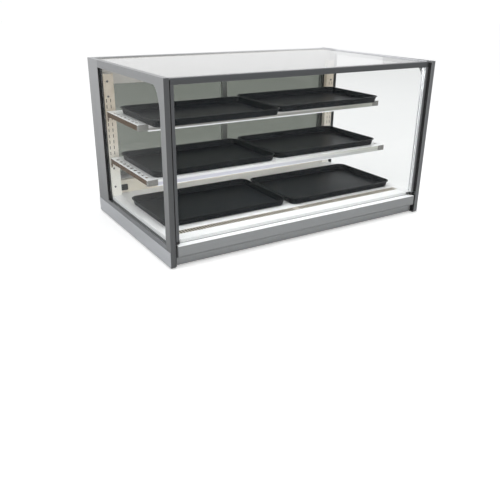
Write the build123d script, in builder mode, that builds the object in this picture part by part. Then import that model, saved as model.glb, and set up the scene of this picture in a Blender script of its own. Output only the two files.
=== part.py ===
from build123d import *
import os
from math import atan, cos, degrees, tan

# Countertop bakery display case: two aluminium end frames with glass, a tilting front glass,
# a fixed top glass, sliding rear doors and three stepped levels of display trays.
# Millimetres, +Z up. X runs along the case, the customer stands on the -Y side.
# The origin is the middle of the rectangle the case covers, at the level its feet stand on.

os.makedirs("parts", exist_ok=True)

SIDES = (("left", -1), ("right", 1))

# ------------------------------------------------------------------ driving sizes: whole case
width = 1220.0  # over the two side skirts
depth = 740.0  # front face of the posts to the back of the end frames
height = 655.0  # counter top to the top of the end frames
foot_height = 5.0
sheet = 2.0  # folded white steel
slide_gap = 0.3  # clearance under a piece that lifts or slides

# ------------------------------------------------------------------ driving sizes: end frames
frame_thickness = 20.0
front_stile_width = 38.0
rear_stile_width = 116.0
top_rail_height = 28.0
bottom_rail_height = 75.0
stile_edge_radius = 2.0
stile_wall = 3.0
gusset_reach = 48.0  # how far the curved corner runs back along the top rail
gusset_drop = 96.0  # how far it runs down the front stile
end_glass_thickness = 5.0
end_glass_recess = 9.0  # from the outer face of the frame to the glass
groove_depth = 8.0
glazing_gap = 0.3  # each side of a pane in its groove
pane_end_gap = 1.0  # between a pane's edge and the bottom of its groove
trim_thickness = 3.0
trim_block_width = 8.0
trim_block_height = 40.0
skirt_thickness = 2.0
skirt_height = 57.0
skirt_setback = 3.0
skirt_edge = 1.2

# ------------------------------------------------------------------ driving sizes: base
base_rail_depth = 24.0
base_rail_end_gap = 10.0
base_rail_top = 82.0
nose_bottom = 35.0
nose_bulge = 1.5
nose_top_radius = 4.0
nose_roll_radius = 11.0
plinth_setback = 15.0
bead_step = 2.5
bead_level = 21.0
rail_wall = 3.0
pan_bottom = 8.0
pan_top = 60.0
pan_flange = 15.0

# ------------------------------------------------------------------ driving sizes: deck
deck_top = 95.0
deck_setback = 30.0
deck_strip_width = 32.0
deck_joint_gap = 1.0
deck_edge = 1.2
grille_setback = 50.0  # from the front edge of the deck to the slots
grille_slot_length = 32.0
grille_slot_width = 8.0
grille_pitch = 12.0
grille_margin = 14.0

# ------------------------------------------------------------------ driving sizes: rear sill, doors, header
sill_depth = 68.0
sill_top = 150.0
door_opening_depth = 92.0  # from the front face of the sill to the back of the end frames
header_depth = 83.0
header_front_drop = 89.0  # all drops are below the top glass
header_back_drop = 68.0
header_web_drop = 45.0
track_inset = 22.0  # from the front face of the sill to the first rib
track_plate = 2.0
track_rib = 2.5
track_rib_height = 8.0
top_rib_height = 20.0
door_thickness = 13.0
door_side_gap = 1.0
door_end_gap = 2.0
door_overlap = 32.0
door_frame_width = 24.0
door_glass_thickness = 6.0
door_lift_room = 10.0
door_edge = 1.2
grip_length = 120.0
grip_width = 10.0
grip_height = 3.0
grip_rib_radius = 1.5

# ------------------------------------------------------------------ driving sizes: top
top_glass_thickness = 6.0
top_glass_recess = 4.0
top_glass_side_gap = 0.5
rear_rail_depth = 12.0
rear_rail_lip = 12.0
rear_rail_radius = 1.5
light_bar_setback = 28.0
light_bar_depth = 24.0
light_bar_height = 16.0
lens_end_gap = 20.0
lens_recess = 1.0
lens_radius = 6.0

# ------------------------------------------------------------------ driving sizes: front glass assembly
front_recess = 11.0
channel_depth = 14.0
channel_width = 16.0
channel_side_gap = 4.0
channel_radius = 1.5
front_glass_thickness = 5.0
front_rail_height = 21.0
front_rail_below_top = 3.0
front_rail_corner_radius = 8.0
front_rail_edge_radius = 4.0
channel_wall = 4.0
plug_height = 12.0
plug_floor = 3.0
plug_clearance = 2.0
plug_edge = 4.0
pivot_setback = 16.0
pivot_level = 90.0
pivot_radius = 3.0
pivot_clearance = 0.05
pivot_reach = 7.0

# ------------------------------------------------------------------ driving sizes: slotted uprights and shelves
upright_width = 42.0
upright_depth = 20.0
upright_top_drop = 45.0  # below the underside of the top glass
upright_set_forward = 28.0  # from the front face of the upright to the front face of the sill
slot_width = 3.6
slot_height = 14.0
slot_pitch = 24.0
slot_rows = 12
slot_columns = 2
slot_column_inset = 7.5
slot_column_pitch = 17.0
first_slot = 232.0
bracket_thickness = 2.5
bracket_flange = 12.0
bracket_web = 22.0
bracket_heel_length = 16.0
bracket_tip_setback = 14.0
bracket_tip_slant = 8.0
hook_rise = 8.0
hook_lip = 6.0
hook_slack = 0.6
shelf_above_hook = 32.5
shelf_side_gap = 2.0
shelf_back_gap = 8.0
shelf_rows = {"middle": 0, "upper": 8}  # slot row that takes the lower hook
shelf_slot_length = 14.0
shelf_slot_width = 20.0
shelf_slot_pitch = 37.5
shelf_slot_inset = 16.0
shelf_hem = 10.0
shelf_reach = {"middle": 398.0, "upper": 336.0}  # uprights to the front of the rail
shelf_rail_drop = 22.0
shelf_rail_wall = 2.5
shelf_rail_flange = 15.0
shelf_end_length = 40.0
shelf_end_radius = 6.0
shelf_light_width = 10.0
shelf_light_height = 22.0
shelf_light_radius = 6.0

# ------------------------------------------------------------------ driving sizes: trays
tray_length = 554.0
tray_depth = 356.0
tray_height = 26.0
tray_wall = 1.5
tray_flare = 6.0
tray_rim = 4.0
tray_rim_thickness = 2.5
tray_corner_radius = 36.0
tray_gap = 9.0
# From each tray to the uprights. Loose trays are not pushed back equally far.
tray_back_gaps = {
    "deck": {"left": 118.0, "right": 136.0},
    "middle": {"left": 34.0, "right": 19.0},
    "upper": {"left": 61.0, "right": 16.0},
}

# ------------------------------------------------------------------ driving sizes: feet and electrical fittings
foot_width = 16.0
foot_length = 22.0
foot_inset = 20.0
pan_foot_inset = 60.0
socket_width = 46.0
socket_height = 26.0
socket_plate = 2.5
socket_radius = 9.5
socket_sides = 12
socket_boss = 5.0
socket_spacing = 22.0
socket_pin_width = 2.0
socket_pin_height = 6.0
socket_pin_spacing = 6.5
socket_pin_depth = 4.0
socket_inset = 58.0
socket_level = 118.0
gland_inset = 160.0
gland_bore = 4.0
gland_spigot_radius = 6.0
gland_spigot = 10.0
gland_flange_radius = 11.0
gland_flange = 5.0
gland_nose_radius = 8.5
gland_nose = 10.0
fitting_gap = 0.2  # round a fitting in its panel hole
fitting_level = 60.0
switch_inset = 90.0
switch_width = 26.0
switch_height = 19.0
switch_rim = 3.0
switch_plate = 2.0
switch_body_depth = 11.0
switch_wall = 2.5
rocker_gap = 0.8
rocker_depth = 5.0
rocker_dish = 1.2
rocker_pin_radius = 1.2
rocker_pin_clearance = 0.05
rocker_pin_reach = 1.8

# ------------------------------------------------------------------ places worked out from the sizes
front = -depth / 2
back = depth / 2
frame_outer = width / 2 - skirt_thickness
frame_inner = frame_outer - frame_thickness
stile_back = front + front_stile_width
flare_end = stile_back + gusset_reach
rear_stile_front = back - rear_stile_width
top_rail_bottom = height - top_rail_height
bottom_rail_top = foot_height + bottom_rail_height
end_glass_outer = frame_outer - end_glass_recess
end_glass_inner = end_glass_outer - end_glass_thickness
base_rail_back = front + base_rail_depth
sill_front = back - door_opening_depth
upright_front = sill_front - upright_set_forward
glass_level = height - top_glass_recess - top_glass_thickness  # underside of the top glass
header_front = back - header_depth - sheet
channel_outer = frame_inner - channel_side_gap
channel_inner = channel_outer - channel_width
channel_front = front + front_recess
channel_back = channel_front + channel_depth
pivot_y = front + pivot_setback
plug_bottom = base_rail_top + plug_clearance
front_rail_bottom = height - front_rail_below_top - front_rail_height
shelf_half = frame_inner - shelf_side_gap
deck_half = frame_inner - deck_strip_width


def save(builder, name):
    """Label a finished piece and write it as its own file."""
    builder.part.label = name
    export_step(builder.part, f"parts/{name}.step")


def block(x_span, y_span, z_span, mode=Mode.ADD):
    """A rectangular piece of material between two limits along each axis."""
    spans = (x_span, y_span, z_span)
    with Locations(tuple((low + high) / 2 for low, high in spans)):
        Box(*(abs(high - low) for low, high in spans), mode=mode)


def span(side, near, far):
    """The limits along X of something between two distances from the middle, on one side."""
    return (side * near, side * far)


def pane_groove(side, y_span, z_span):
    """Cut the glazing groove of an end frame."""
    x_span = span(side, end_glass_inner - glazing_gap, end_glass_outer + glazing_gap)
    block(x_span, y_span, z_span, mode=Mode.SUBTRACT)


# ================================================================== end frames
# Each end is a flat picture frame of square aluminium sections, grooved for one pane of glass.
for side_name, side in SIDES:
    frame_x = span(side, frame_inner, frame_outer)

    # The front stile flares into the top rail with a quarter of an ellipse.
    with BuildPart() as front_stile:
        with BuildSketch(Plane.YZ.offset(side * frame_inner)):
            with BuildLine():
                flare = EllipticalCenterArc(
                    (flare_end, top_rail_bottom - gusset_drop),
                    gusset_reach,
                    gusset_drop,
                    start_angle=90,
                    arc_size=90,
                )
                Polyline(
                    flare @ 1,
                    (stile_back, foot_height),
                    (front, foot_height),
                    (front, height),
                    (flare_end, height),
                    flare @ 0,
                )
            make_face()
        extrude(amount=side * frame_thickness)
        front_edges = front_stile.edges().filter_by(Axis.Z).group_by(Axis.Y)[0]
        fillet(front_edges, stile_edge_radius)
        pane_groove(
            side,
            (stile_back - groove_depth, flare_end + groove_depth),
            (bottom_rail_top - groove_depth, top_rail_bottom + groove_depth),
        )
        with Locations(Plane.YZ.offset(side * frame_inner).location * Pos(pivot_y, pivot_level)):
            Cylinder(
                pivot_radius + pivot_clearance,
                2 * (pivot_reach + pane_end_gap),
                mode=Mode.SUBTRACT,
            )
    save(front_stile, f"{side_name}_front_stile")

    # The wide rear stile is a hollow section, closed at the top.
    with BuildPart() as rear_stile:
        block(frame_x, (rear_stile_front, back), (foot_height, height))
        block(
            span(side, frame_inner + stile_wall, frame_outer - stile_wall),
            (rear_stile_front + groove_depth + stile_wall, back - stile_wall),
            (foot_height, height - stile_wall),
            mode=Mode.SUBTRACT,
        )
        pane_groove(
            side,
            (rear_stile_front, rear_stile_front + groove_depth),
            (bottom_rail_top - groove_depth, top_rail_bottom + groove_depth),
        )
        back_edges = rear_stile.edges().filter_by(Axis.Z).group_by(Axis.Y)[-1]
        fillet(back_edges, stile_edge_radius)
    save(rear_stile, f"{side_name}_rear_stile")

    with BuildPart() as top_rail:
        block(frame_x, (flare_end, rear_stile_front), (top_rail_bottom, height))
        pane_groove(
            side,
            (flare_end, rear_stile_front),
            (top_rail_bottom, top_rail_bottom + groove_depth),
        )
    save(top_rail, f"{side_name}_top_rail")

    with BuildPart() as bottom_rail:
        block(frame_x, (stile_back, rear_stile_front), (foot_height, bottom_rail_top))
        pane_groove(
            side,
            (stile_back, rear_stile_front),
            (bottom_rail_top - groove_depth, bottom_rail_top),
        )
    save(bottom_rail, f"{side_name}_bottom_rail")

    with BuildPart() as end_glass:
        reach = groove_depth - pane_end_gap
        block(
            span(side, end_glass_inner, end_glass_outer),
            (stile_back - reach, rear_stile_front + reach),
            (bottom_rail_top - reach, top_rail_bottom + reach),
        )
    save(end_glass, f"{side_name}_end_glass")

    # Black rubber glazing strip in the reveal of the rear stile, with a block at its foot.
    with BuildPart() as glazing_strip:
        strip_x = span(side, end_glass_outer + glazing_gap, frame_outer - glazing_gap)
        block(
            strip_x,
            (rear_stile_front - trim_thickness, rear_stile_front),
            (bottom_rail_top, top_rail_bottom),
        )
        block(
            strip_x,
            (rear_stile_front - trim_block_width, rear_stile_front),
            (bottom_rail_top, bottom_rail_top + trim_block_height),
        )
        strip_edges = glazing_strip.edges().filter_by(Axis.Z).group_by(Axis.Y)[0]
        fillet(strip_edges, glazing_gap)
    save(glazing_strip, f"{side_name}_glazing_strip")

    # Anodised skirt clipped over the foot of the frame.
    with BuildPart() as skirt:
        block(
            span(side, frame_outer, width / 2),
            (front + skirt_setback, back - skirt_setback),
            (foot_height, foot_height + skirt_height),
        )
        outer_face = skirt.faces().sort_by(Axis.X)[-1 if side > 0 else 0]
        chamfer(outer_face.edges().sort_by(Axis.Z)[-1], skirt_edge)
    save(skirt, f"{side_name}_skirt")

# ================================================================== base
# The bullnose base rail is an aluminium section with a stepped, set-back plinth below the nose.
base_rail_half = frame_inner - base_rail_end_gap
nose_face = front + nose_bulge
plinth_face = front + plinth_setback
nose_middle = (base_rail_top + nose_bottom) / 2
with BuildPart() as front_base_rail:
    with BuildSketch(Plane.YZ.offset(-base_rail_half)) as rail_profile:
        with BuildLine():
            nose = ThreePointArc(
                (nose_face, base_rail_top), (front, nose_middle), (nose_face, nose_bottom)
            )
            Polyline(
                nose @ 1,
                (plinth_face, nose_bottom),
                (plinth_face, bead_level),
                (plinth_face + bead_step, bead_level),
                (plinth_face + bead_step, foot_height),
                (base_rail_back, foot_height),
                (base_rail_back, base_rail_top),
                nose @ 0,
            )
        make_face()
        nose_corners = rail_profile.vertices().sort_by(Axis.X)[:2].sort_by(Axis.Y)
        fillet(nose_corners[0], nose_roll_radius)
        fillet(rail_profile.vertices().group_by(Axis.Y)[-1].sort_by(Axis.X)[0], nose_top_radius)
        with Locations(((nose_face + base_rail_back) / 2, nose_middle + rail_wall)):
            Rectangle(
                base_rail_depth - nose_bulge - 2 * rail_wall,
                base_rail_top - nose_bottom - 2 * nose_roll_radius,
                mode=Mode.SUBTRACT,
            )
    extrude(amount=2 * base_rail_half)
save(front_base_rail, "front_base_rail")

# The base pan is a folded steel tub with an inward flange that carries the deck.
pan_length = sill_front - base_rail_back
pan_middle = (sill_front + base_rail_back) / 2
with BuildPart() as base_pan:
    with BuildSketch(Plane.XY.offset(pan_bottom)):
        with Locations((0, pan_middle)):
            Rectangle(2 * frame_inner, pan_length)
    extrude(amount=pan_top - pan_bottom)
    offset(amount=-sheet, openings=base_pan.faces().sort_by(Axis.Z)[-1])
    with BuildSketch(Plane.XY.offset(pan_top - sheet)):
        with Locations((0, pan_middle)):
            Rectangle(2 * frame_inner, pan_length)
            Rectangle(
                2 * (frame_inner - pan_flange), pan_length - 2 * pan_flange, mode=Mode.SUBTRACT
            )
    extrude(amount=sheet)
save(base_pan, "base_pan")

with BuildPart() as rubber_feet:
    for side_name, side in SIDES:
        with BuildSketch():
            stile_x = side * (frame_outer - frame_thickness / 2)
            with Locations((stile_x, front + foot_inset), (stile_x, back - foot_inset)):
                Rectangle(foot_width, foot_length)
    extrude(amount=foot_height)
    with BuildSketch():
        with Locations((0, front + pan_foot_inset), (0, sill_front - pan_foot_inset)):
            Rectangle(foot_length, foot_width)
    extrude(amount=pan_bottom)
save(rubber_feet, "rubber_feet")

# ================================================================== deck
# Two white deck pans, folded down all round, meet in the middle. Each has a row of air slots
# near its front edge. A narrow filler strip closes the gap to each end frame.
deck_length = sill_front - front - deck_setback
deck_middle = (sill_front + front + deck_setback) / 2
deck_drop = deck_top - pan_top
grille_y = front + deck_setback + grille_setback + grille_slot_length / 2
for side_name, side in SIDES:
    pan_near = deck_joint_gap / 2
    pan_far = deck_half - deck_joint_gap
    with BuildPart() as deck_pan:
        with BuildSketch(Plane.XY.offset(pan_top)):
            with Locations((side * (pan_near + pan_far) / 2, deck_middle)):
                Rectangle(pan_far - pan_near, deck_length)
        extrude(amount=deck_drop)
        offset(amount=-sheet, openings=deck_pan.faces().sort_by(Axis.Z)[0])
        chamfer(deck_pan.edges().group_by(Axis.Z)[-1], deck_edge)
        slot_count = int((pan_far - pan_near - 2 * grille_margin) // grille_pitch) + 1
        with BuildSketch(Plane.XY.offset(deck_top)):
            with Locations((side * (pan_near + pan_far) / 2, grille_y)):
                with GridLocations(grille_pitch, 1, slot_count, 1):
                    Rectangle(grille_slot_width, grille_slot_length)
        extrude(amount=-sheet, mode=Mode.SUBTRACT)
    save(deck_pan, f"{side_name}_deck_pan")

    with BuildPart() as deck_strip:
        strip_x = span(side, deck_half, frame_inner)
        strip_y = (front + deck_setback, sill_front)
        block(strip_x, strip_y, (pan_top, deck_top))
        block(
            span(side, deck_half + sheet, frame_inner - sheet),
            strip_y,
            (pan_top, deck_top - sheet),
            mode=Mode.SUBTRACT,
        )
    save(deck_strip, f"{side_name}_deck_strip")

# ================================================================== rear sill, tracks and header
sill_back = sill_front + sill_depth
gland_x = frame_inner - gland_inset
switch_x = frame_inner - switch_inset
with BuildPart() as rear_sill:
    with BuildSketch(Plane.YZ.offset(-frame_inner)):
        with Locations(((sill_front + sill_back) / 2, (pan_bottom + sill_top) / 2)):
            Rectangle(sill_depth, sill_top - pan_bottom)
            Rectangle(
                sill_depth - 2 * sheet, sill_top - pan_bottom - 2 * sheet, mode=Mode.SUBTRACT
            )
    extrude(amount=2 * frame_inner)
    with Locations(Plane.XZ.offset(-sill_back).location * Pos(gland_x, fitting_level)):
        Cylinder(gland_spigot_radius + fitting_gap, 2 * sheet, mode=Mode.SUBTRACT)
    with Locations((switch_x, sill_back, fitting_level)):
        Box(
            switch_width + 2 * fitting_gap,
            2 * sheet,
            switch_height + 2 * fitting_gap,
            mode=Mode.SUBTRACT,
        )
save(rear_sill, "rear_sill")

# Both door tracks are the same three-ribbed section, the upper one turned over with deeper ribs.
rib_pitch = door_thickness + 2 * door_side_gap + track_rib
track_front = sill_front + track_inset
track_depth = 2 * rib_pitch + track_rib


def door_track(plate_low, rib_span):
    """A track plate with three ribs that make two grooves for the doors."""
    track_x = (-frame_inner, frame_inner)
    block(track_x, (track_front, track_front + track_depth), (plate_low, plate_low + track_plate))
    for rib in range(3):
        rib_front = track_front + rib * rib_pitch
        block(track_x, (rib_front, rib_front + track_rib), rib_span)


door_bottom = sill_top + track_plate + slide_gap
header_web = glass_level - header_web_drop
top_track_low = header_web - sheet - track_plate
door_top = top_track_low - door_lift_room

with BuildPart() as bottom_track:
    door_track(sill_top, (sill_top, sill_top + track_plate + track_rib_height))
save(bottom_track, "bottom_door_track")

with BuildPart() as top_track:
    door_track(top_track_low, (top_track_low - top_rib_height, top_track_low))
save(top_track, "top_door_track")

# The header is a folded box across the top of the door opening, with a web that carries the track.
header_back = back - sheet
with BuildPart() as rear_header:
    with BuildSketch(Plane.YZ.offset(-frame_inner)) as header_profile:
        with Locations(((header_front + header_back) / 2, glass_level - sheet / 2)):
            Rectangle(header_back - header_front, sheet)
        with Locations(((header_front + header_back) / 2, header_web - sheet / 2)):
            Rectangle(header_back - header_front, sheet)
        with Locations((header_front + sheet / 2, glass_level - header_front_drop / 2)):
            Rectangle(sheet, header_front_drop)
        with Locations((header_back - sheet / 2, glass_level - header_back_drop / 2)):
            Rectangle(sheet, header_back_drop)
    extrude(amount=2 * frame_inner)
save(rear_header, "rear_header")

# ================================================================== top
rear_rail_front = back - rear_rail_depth
with BuildPart() as rear_top_rail:
    with BuildSketch(Plane.YZ.offset(-frame_inner)) as rail_section:
        with BuildLine():
            Polyline(
                (rear_rail_front, glass_level),
                (back, glass_level),
                (back, height),
                (rear_rail_front - rear_rail_lip, height),
                (rear_rail_front - rear_rail_lip, glass_level + top_glass_thickness),
                (rear_rail_front, glass_level + top_glass_thickness),
                close=True,
            )
        make_face()
        fillet(rail_section.vertices().group_by(Axis.Y)[-1], rear_rail_radius)
    extrude(amount=2 * frame_inner)
save(rear_top_rail, "rear_top_rail")

with BuildPart() as top_glass:
    block(
        (top_glass_side_gap - frame_inner, frame_inner - top_glass_side_gap),
        (front + light_bar_setback, rear_rail_front - pane_end_gap),
        (glass_level, glass_level + top_glass_thickness),
    )
save(top_glass, "top_glass")

# A cross bar behind the front glass carries the front edge of the top glass and a light.
bar_front = front + light_bar_setback
bar_back = bar_front + light_bar_depth
bar_bottom = glass_level - light_bar_height
with BuildPart() as top_light_bar:
    bar_x = (-frame_inner, frame_inner)
    block(bar_x, (bar_front, bar_back), (bar_bottom, glass_level))
    block(
        bar_x,
        (bar_front + sheet, bar_back - sheet),
        (bar_bottom, glass_level - sheet),
        mode=Mode.SUBTRACT,
    )
save(top_light_bar, "top_light_bar")

with BuildPart() as top_light_lens:
    with BuildSketch(Plane.YZ.offset(lens_end_gap - frame_inner)) as lens_profile:
        lens_low = bar_bottom + lens_recess
        lens_high = glass_level - sheet
        with Locations(((bar_front + bar_back) / 2, (lens_low + lens_high) / 2)):
            Rectangle(light_bar_depth - 2 * sheet - 2 * glazing_gap, lens_high - lens_low)
        fillet(lens_profile.vertices().group_by(Axis.Y)[0], lens_radius)
    extrude(amount=2 * (frame_inner - lens_end_gap))
save(top_light_lens, "top_light_lens")

# ================================================================== tilting front glass
# One pane in a three-sided aluminium frame. Nylon plugs close the side channels at the bottom and
# carry the pivot pins, which turn in the front stiles.
front_glass_y = (channel_front + channel_back - front_glass_thickness) / 2
front_pane_y = (front_glass_y, front_glass_y + front_glass_thickness)
front_groove_y = (front_pane_y[0] - glazing_gap, front_pane_y[1] + glazing_gap)
front_pane_half = channel_outer - channel_wall
front_pane_bottom = plug_bottom + plug_floor
plug_top = plug_bottom + plug_height

with BuildPart() as front_glass:
    block(
        (-front_pane_half, front_pane_half),
        front_pane_y,
        (front_pane_bottom, front_rail_bottom + groove_depth - pane_end_gap),
    )
save(front_glass, "front_glass")

with BuildPart() as front_glass_rail:
    rail_middle = front_rail_bottom + front_rail_height / 2
    with BuildSketch(Plane.YZ.offset(-channel_outer)) as crown_profile:
        with Locations(((channel_front + channel_back) / 2, rail_middle)):
            Rectangle(channel_depth, front_rail_height)
        crown = crown_profile.vertices().sort_by(Axis.X)[:2].sort_by(Axis.Y)[-1]
        fillet(crown, front_rail_edge_radius)
    extrude(amount=2 * channel_outer)
    with BuildSketch(Plane.XZ.offset(-channel_front)) as rail_face:
        with Locations((0, rail_middle)):
            Rectangle(2 * channel_outer, front_rail_height)
        fillet(rail_face.vertices().group_by(Axis.Y)[-1], front_rail_corner_radius)
    extrude(amount=-channel_depth, mode=Mode.INTERSECT)
    block(
        (-front_pane_half - glazing_gap, front_pane_half + glazing_gap),
        front_groove_y,
        (front_rail_bottom, front_rail_bottom + groove_depth),
        mode=Mode.SUBTRACT,
    )
save(front_glass_rail, "front_glass_rail")

for side_name, side in SIDES:
    groove_x = span(side, channel_inner, front_pane_half + glazing_gap)
    with BuildPart() as glass_channel:
        block(
            span(side, channel_inner, channel_outer),
            (channel_front, channel_back),
            (plug_top, front_rail_bottom),
        )
        channel_edges = glass_channel.edges().filter_by(Axis.Z).group_by(Axis.Y)[0]
        fillet(channel_edges, channel_radius)
        block(groove_x, front_groove_y, (plug_top, front_rail_bottom), mode=Mode.SUBTRACT)
    save(glass_channel, f"{side_name}_glass_channel")

with BuildPart() as front_glass_pivots:
    for side_name, side in SIDES:
        with BuildSketch(Plane.YZ.offset(side * channel_inner)) as plug_profile:
            with Locations(((channel_front + channel_back) / 2, (plug_bottom + plug_top) / 2)):
                Rectangle(channel_depth, plug_height)
            chamfer(plug_profile.vertices().group_by(Axis.Y)[0], plug_edge)
        extrude(amount=side * channel_width)
        block(
            span(side, channel_inner, front_pane_half + glazing_gap),
            front_groove_y,
            (front_pane_bottom - glazing_gap, plug_top),
            mode=Mode.SUBTRACT,
        )
        with BuildSketch(Plane.YZ.offset(side * (front_pane_half + glazing_gap))):
            with Locations((pivot_y, pivot_level)):
                Circle(pivot_radius)
        pin_end = frame_inner + pivot_reach
        extrude(amount=side * (pin_end - front_pane_half - glazing_gap))
save(front_glass_pivots, "front_glass_pivots")

# ================================================================== sliding rear doors
# The left door runs in the outer groove and the right one in the inner groove, so they pass.
door_far = frame_inner - door_end_gap
door_near = -door_overlap / 2
inner_door_y = track_front + track_rib + door_side_gap
door_planes = {"left": inner_door_y + rib_pitch, "right": inner_door_y}
for side_name, side in SIDES:
    door_y = door_planes[side_name]
    door_x = span(side, door_near, door_far)
    opening_x = span(side, door_near + door_frame_width, door_far - door_frame_width)
    opening_z = (door_bottom + door_frame_width, door_top - door_frame_width)
    pane_y = door_y + (door_thickness - door_glass_thickness) / 2
    seat = groove_depth - pane_end_gap
    with BuildPart() as door_frame:
        block(door_x, (door_y, door_y + door_thickness), (door_bottom, door_top))
        block(opening_x, (door_y, door_y + door_thickness), opening_z, mode=Mode.SUBTRACT)
        rear_face = door_frame.faces().sort_by(Axis.Y)[-1]
        chamfer(rear_face.outer_wire().edges(), door_edge)
        block(
            (min(opening_x) - groove_depth, max(opening_x) + groove_depth),
            (pane_y - glazing_gap, pane_y + door_glass_thickness + glazing_gap),
            (opening_z[0] - groove_depth, opening_z[1] + groove_depth),
            mode=Mode.SUBTRACT,
        )
        # A ribbed grip on the outer stile, low enough to pass between the two doors.
        grip_x = side * (door_far - door_frame_width / 2)
        grip_z = (opening_z[0] + opening_z[1]) / 2
        with Locations(Plane.XZ.offset(-door_y - door_thickness).location * Pos(grip_x, grip_z)):
            Box(
                grip_width,
                grip_length,
                grip_height - grip_rib_radius,
                align=(Align.CENTER, Align.CENTER, Align.MAX),
            )
        with BuildSketch(Plane.XY.offset(grip_z - grip_length / 2)):
            rib_y = door_y + door_thickness + grip_height - grip_rib_radius
            rib_shift = grip_width / 2 - grip_rib_radius
            with Locations((grip_x - rib_shift, rib_y), (grip_x + rib_shift, rib_y)):
                Circle(grip_rib_radius)
        extrude(amount=grip_length)
    save(door_frame, f"{side_name}_door_frame")

    with BuildPart() as door_glass:
        block(
            (min(opening_x) - seat, max(opening_x) + seat),
            (pane_y, pane_y + door_glass_thickness),
            (opening_z[0] - seat, opening_z[1] + seat),
        )
    save(door_glass, f"{side_name}_door_glass")

# ================================================================== slotted uprights
slot_columns_x = [
    frame_inner - slot_column_inset - column * slot_column_pitch for column in range(slot_columns)
]


def slot_level(row):
    """The height of the middle of a slot, counted in rows from the lowest one."""
    return first_slot + row * slot_pitch


for side_name, side in SIDES:
    with BuildPart() as upright:
        with BuildSketch(Plane.XY.offset(deck_top)):
            upright_x = side * (frame_inner - upright_width / 2)
            upright_middle = upright_front + upright_depth / 2
            with Locations((upright_x, upright_middle)):
                Rectangle(upright_width, upright_depth)
            with Locations((upright_x, upright_middle + sheet)):
                Rectangle(upright_width - 2 * sheet, upright_depth, mode=Mode.SUBTRACT)
        extrude(amount=glass_level - upright_top_drop - deck_top)
        with BuildSketch(Plane.XZ.offset(-upright_front)):
            for row in range(slot_rows):
                with Locations(*[(side * x, slot_level(row)) for x in slot_columns_x]):
                    Rectangle(slot_width, slot_height)
        extrude(amount=-sheet, mode=Mode.SUBTRACT)
    save(upright, f"{side_name}_upright")

# ================================================================== shelf brackets
# A bracket is a pressed steel arm: a web, a flange turned inwards along its top to carry the
# shelf, and two hooks that drop over the lower edges of two neighbouring slots.
bracket_centre = slot_columns_x[0]
web_near = bracket_centre - bracket_thickness / 2
flange_near = web_near - bracket_flange
shelf_tops = {level: slot_level(row) + shelf_above_hook for level, row in shelf_rows.items()}
shelf_fronts = {level: upright_front - reach for level, reach in shelf_reach.items()}

for level in shelf_rows:
    arm_top = shelf_tops[level] - sheet
    arm_low = arm_top - bracket_web
    tip = shelf_fronts[level] + bracket_tip_setback
    hook_rows = [slot_level(shelf_rows[level] + step) for step in range(2)]
    heel_low = hook_rows[0] - slot_height / 2 - hook_lip
    for side_name, side in SIDES:
        with BuildPart() as bracket:
            with BuildSketch(Plane.YZ.offset(side * web_near)):
                with BuildLine():
                    Polyline(
                        (upright_front, arm_top),
                        (tip, arm_top),
                        (tip, arm_low + bracket_tip_slant),
                        (tip + bracket_tip_slant, arm_low),
                        (upright_front - bracket_heel_length, arm_low),
                        (upright_front, heel_low),
                        close=True,
                    )
                make_face()
                for hook_level in hook_rows:
                    seat_z = hook_level - slot_height / 2
                    neck_back = upright_front + sheet + hook_slack
                    with Locations((upright_front, seat_z)):
                        Rectangle(
                            neck_back - upright_front + bracket_thickness,
                            hook_rise,
                            align=(Align.MIN, Align.MIN),
                        )
                    with Locations((neck_back, seat_z + hook_rise)):
                        Rectangle(
                            bracket_thickness,
                            hook_rise + hook_lip,
                            align=(Align.MIN, Align.MAX),
                        )
            extrude(amount=side * bracket_thickness)
            block(
                span(side, flange_near, web_near),
                (tip, upright_front - pane_end_gap),
                (arm_top - bracket_thickness, arm_top),
            )
        save(bracket, f"{level}_{side_name}_bracket")

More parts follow.
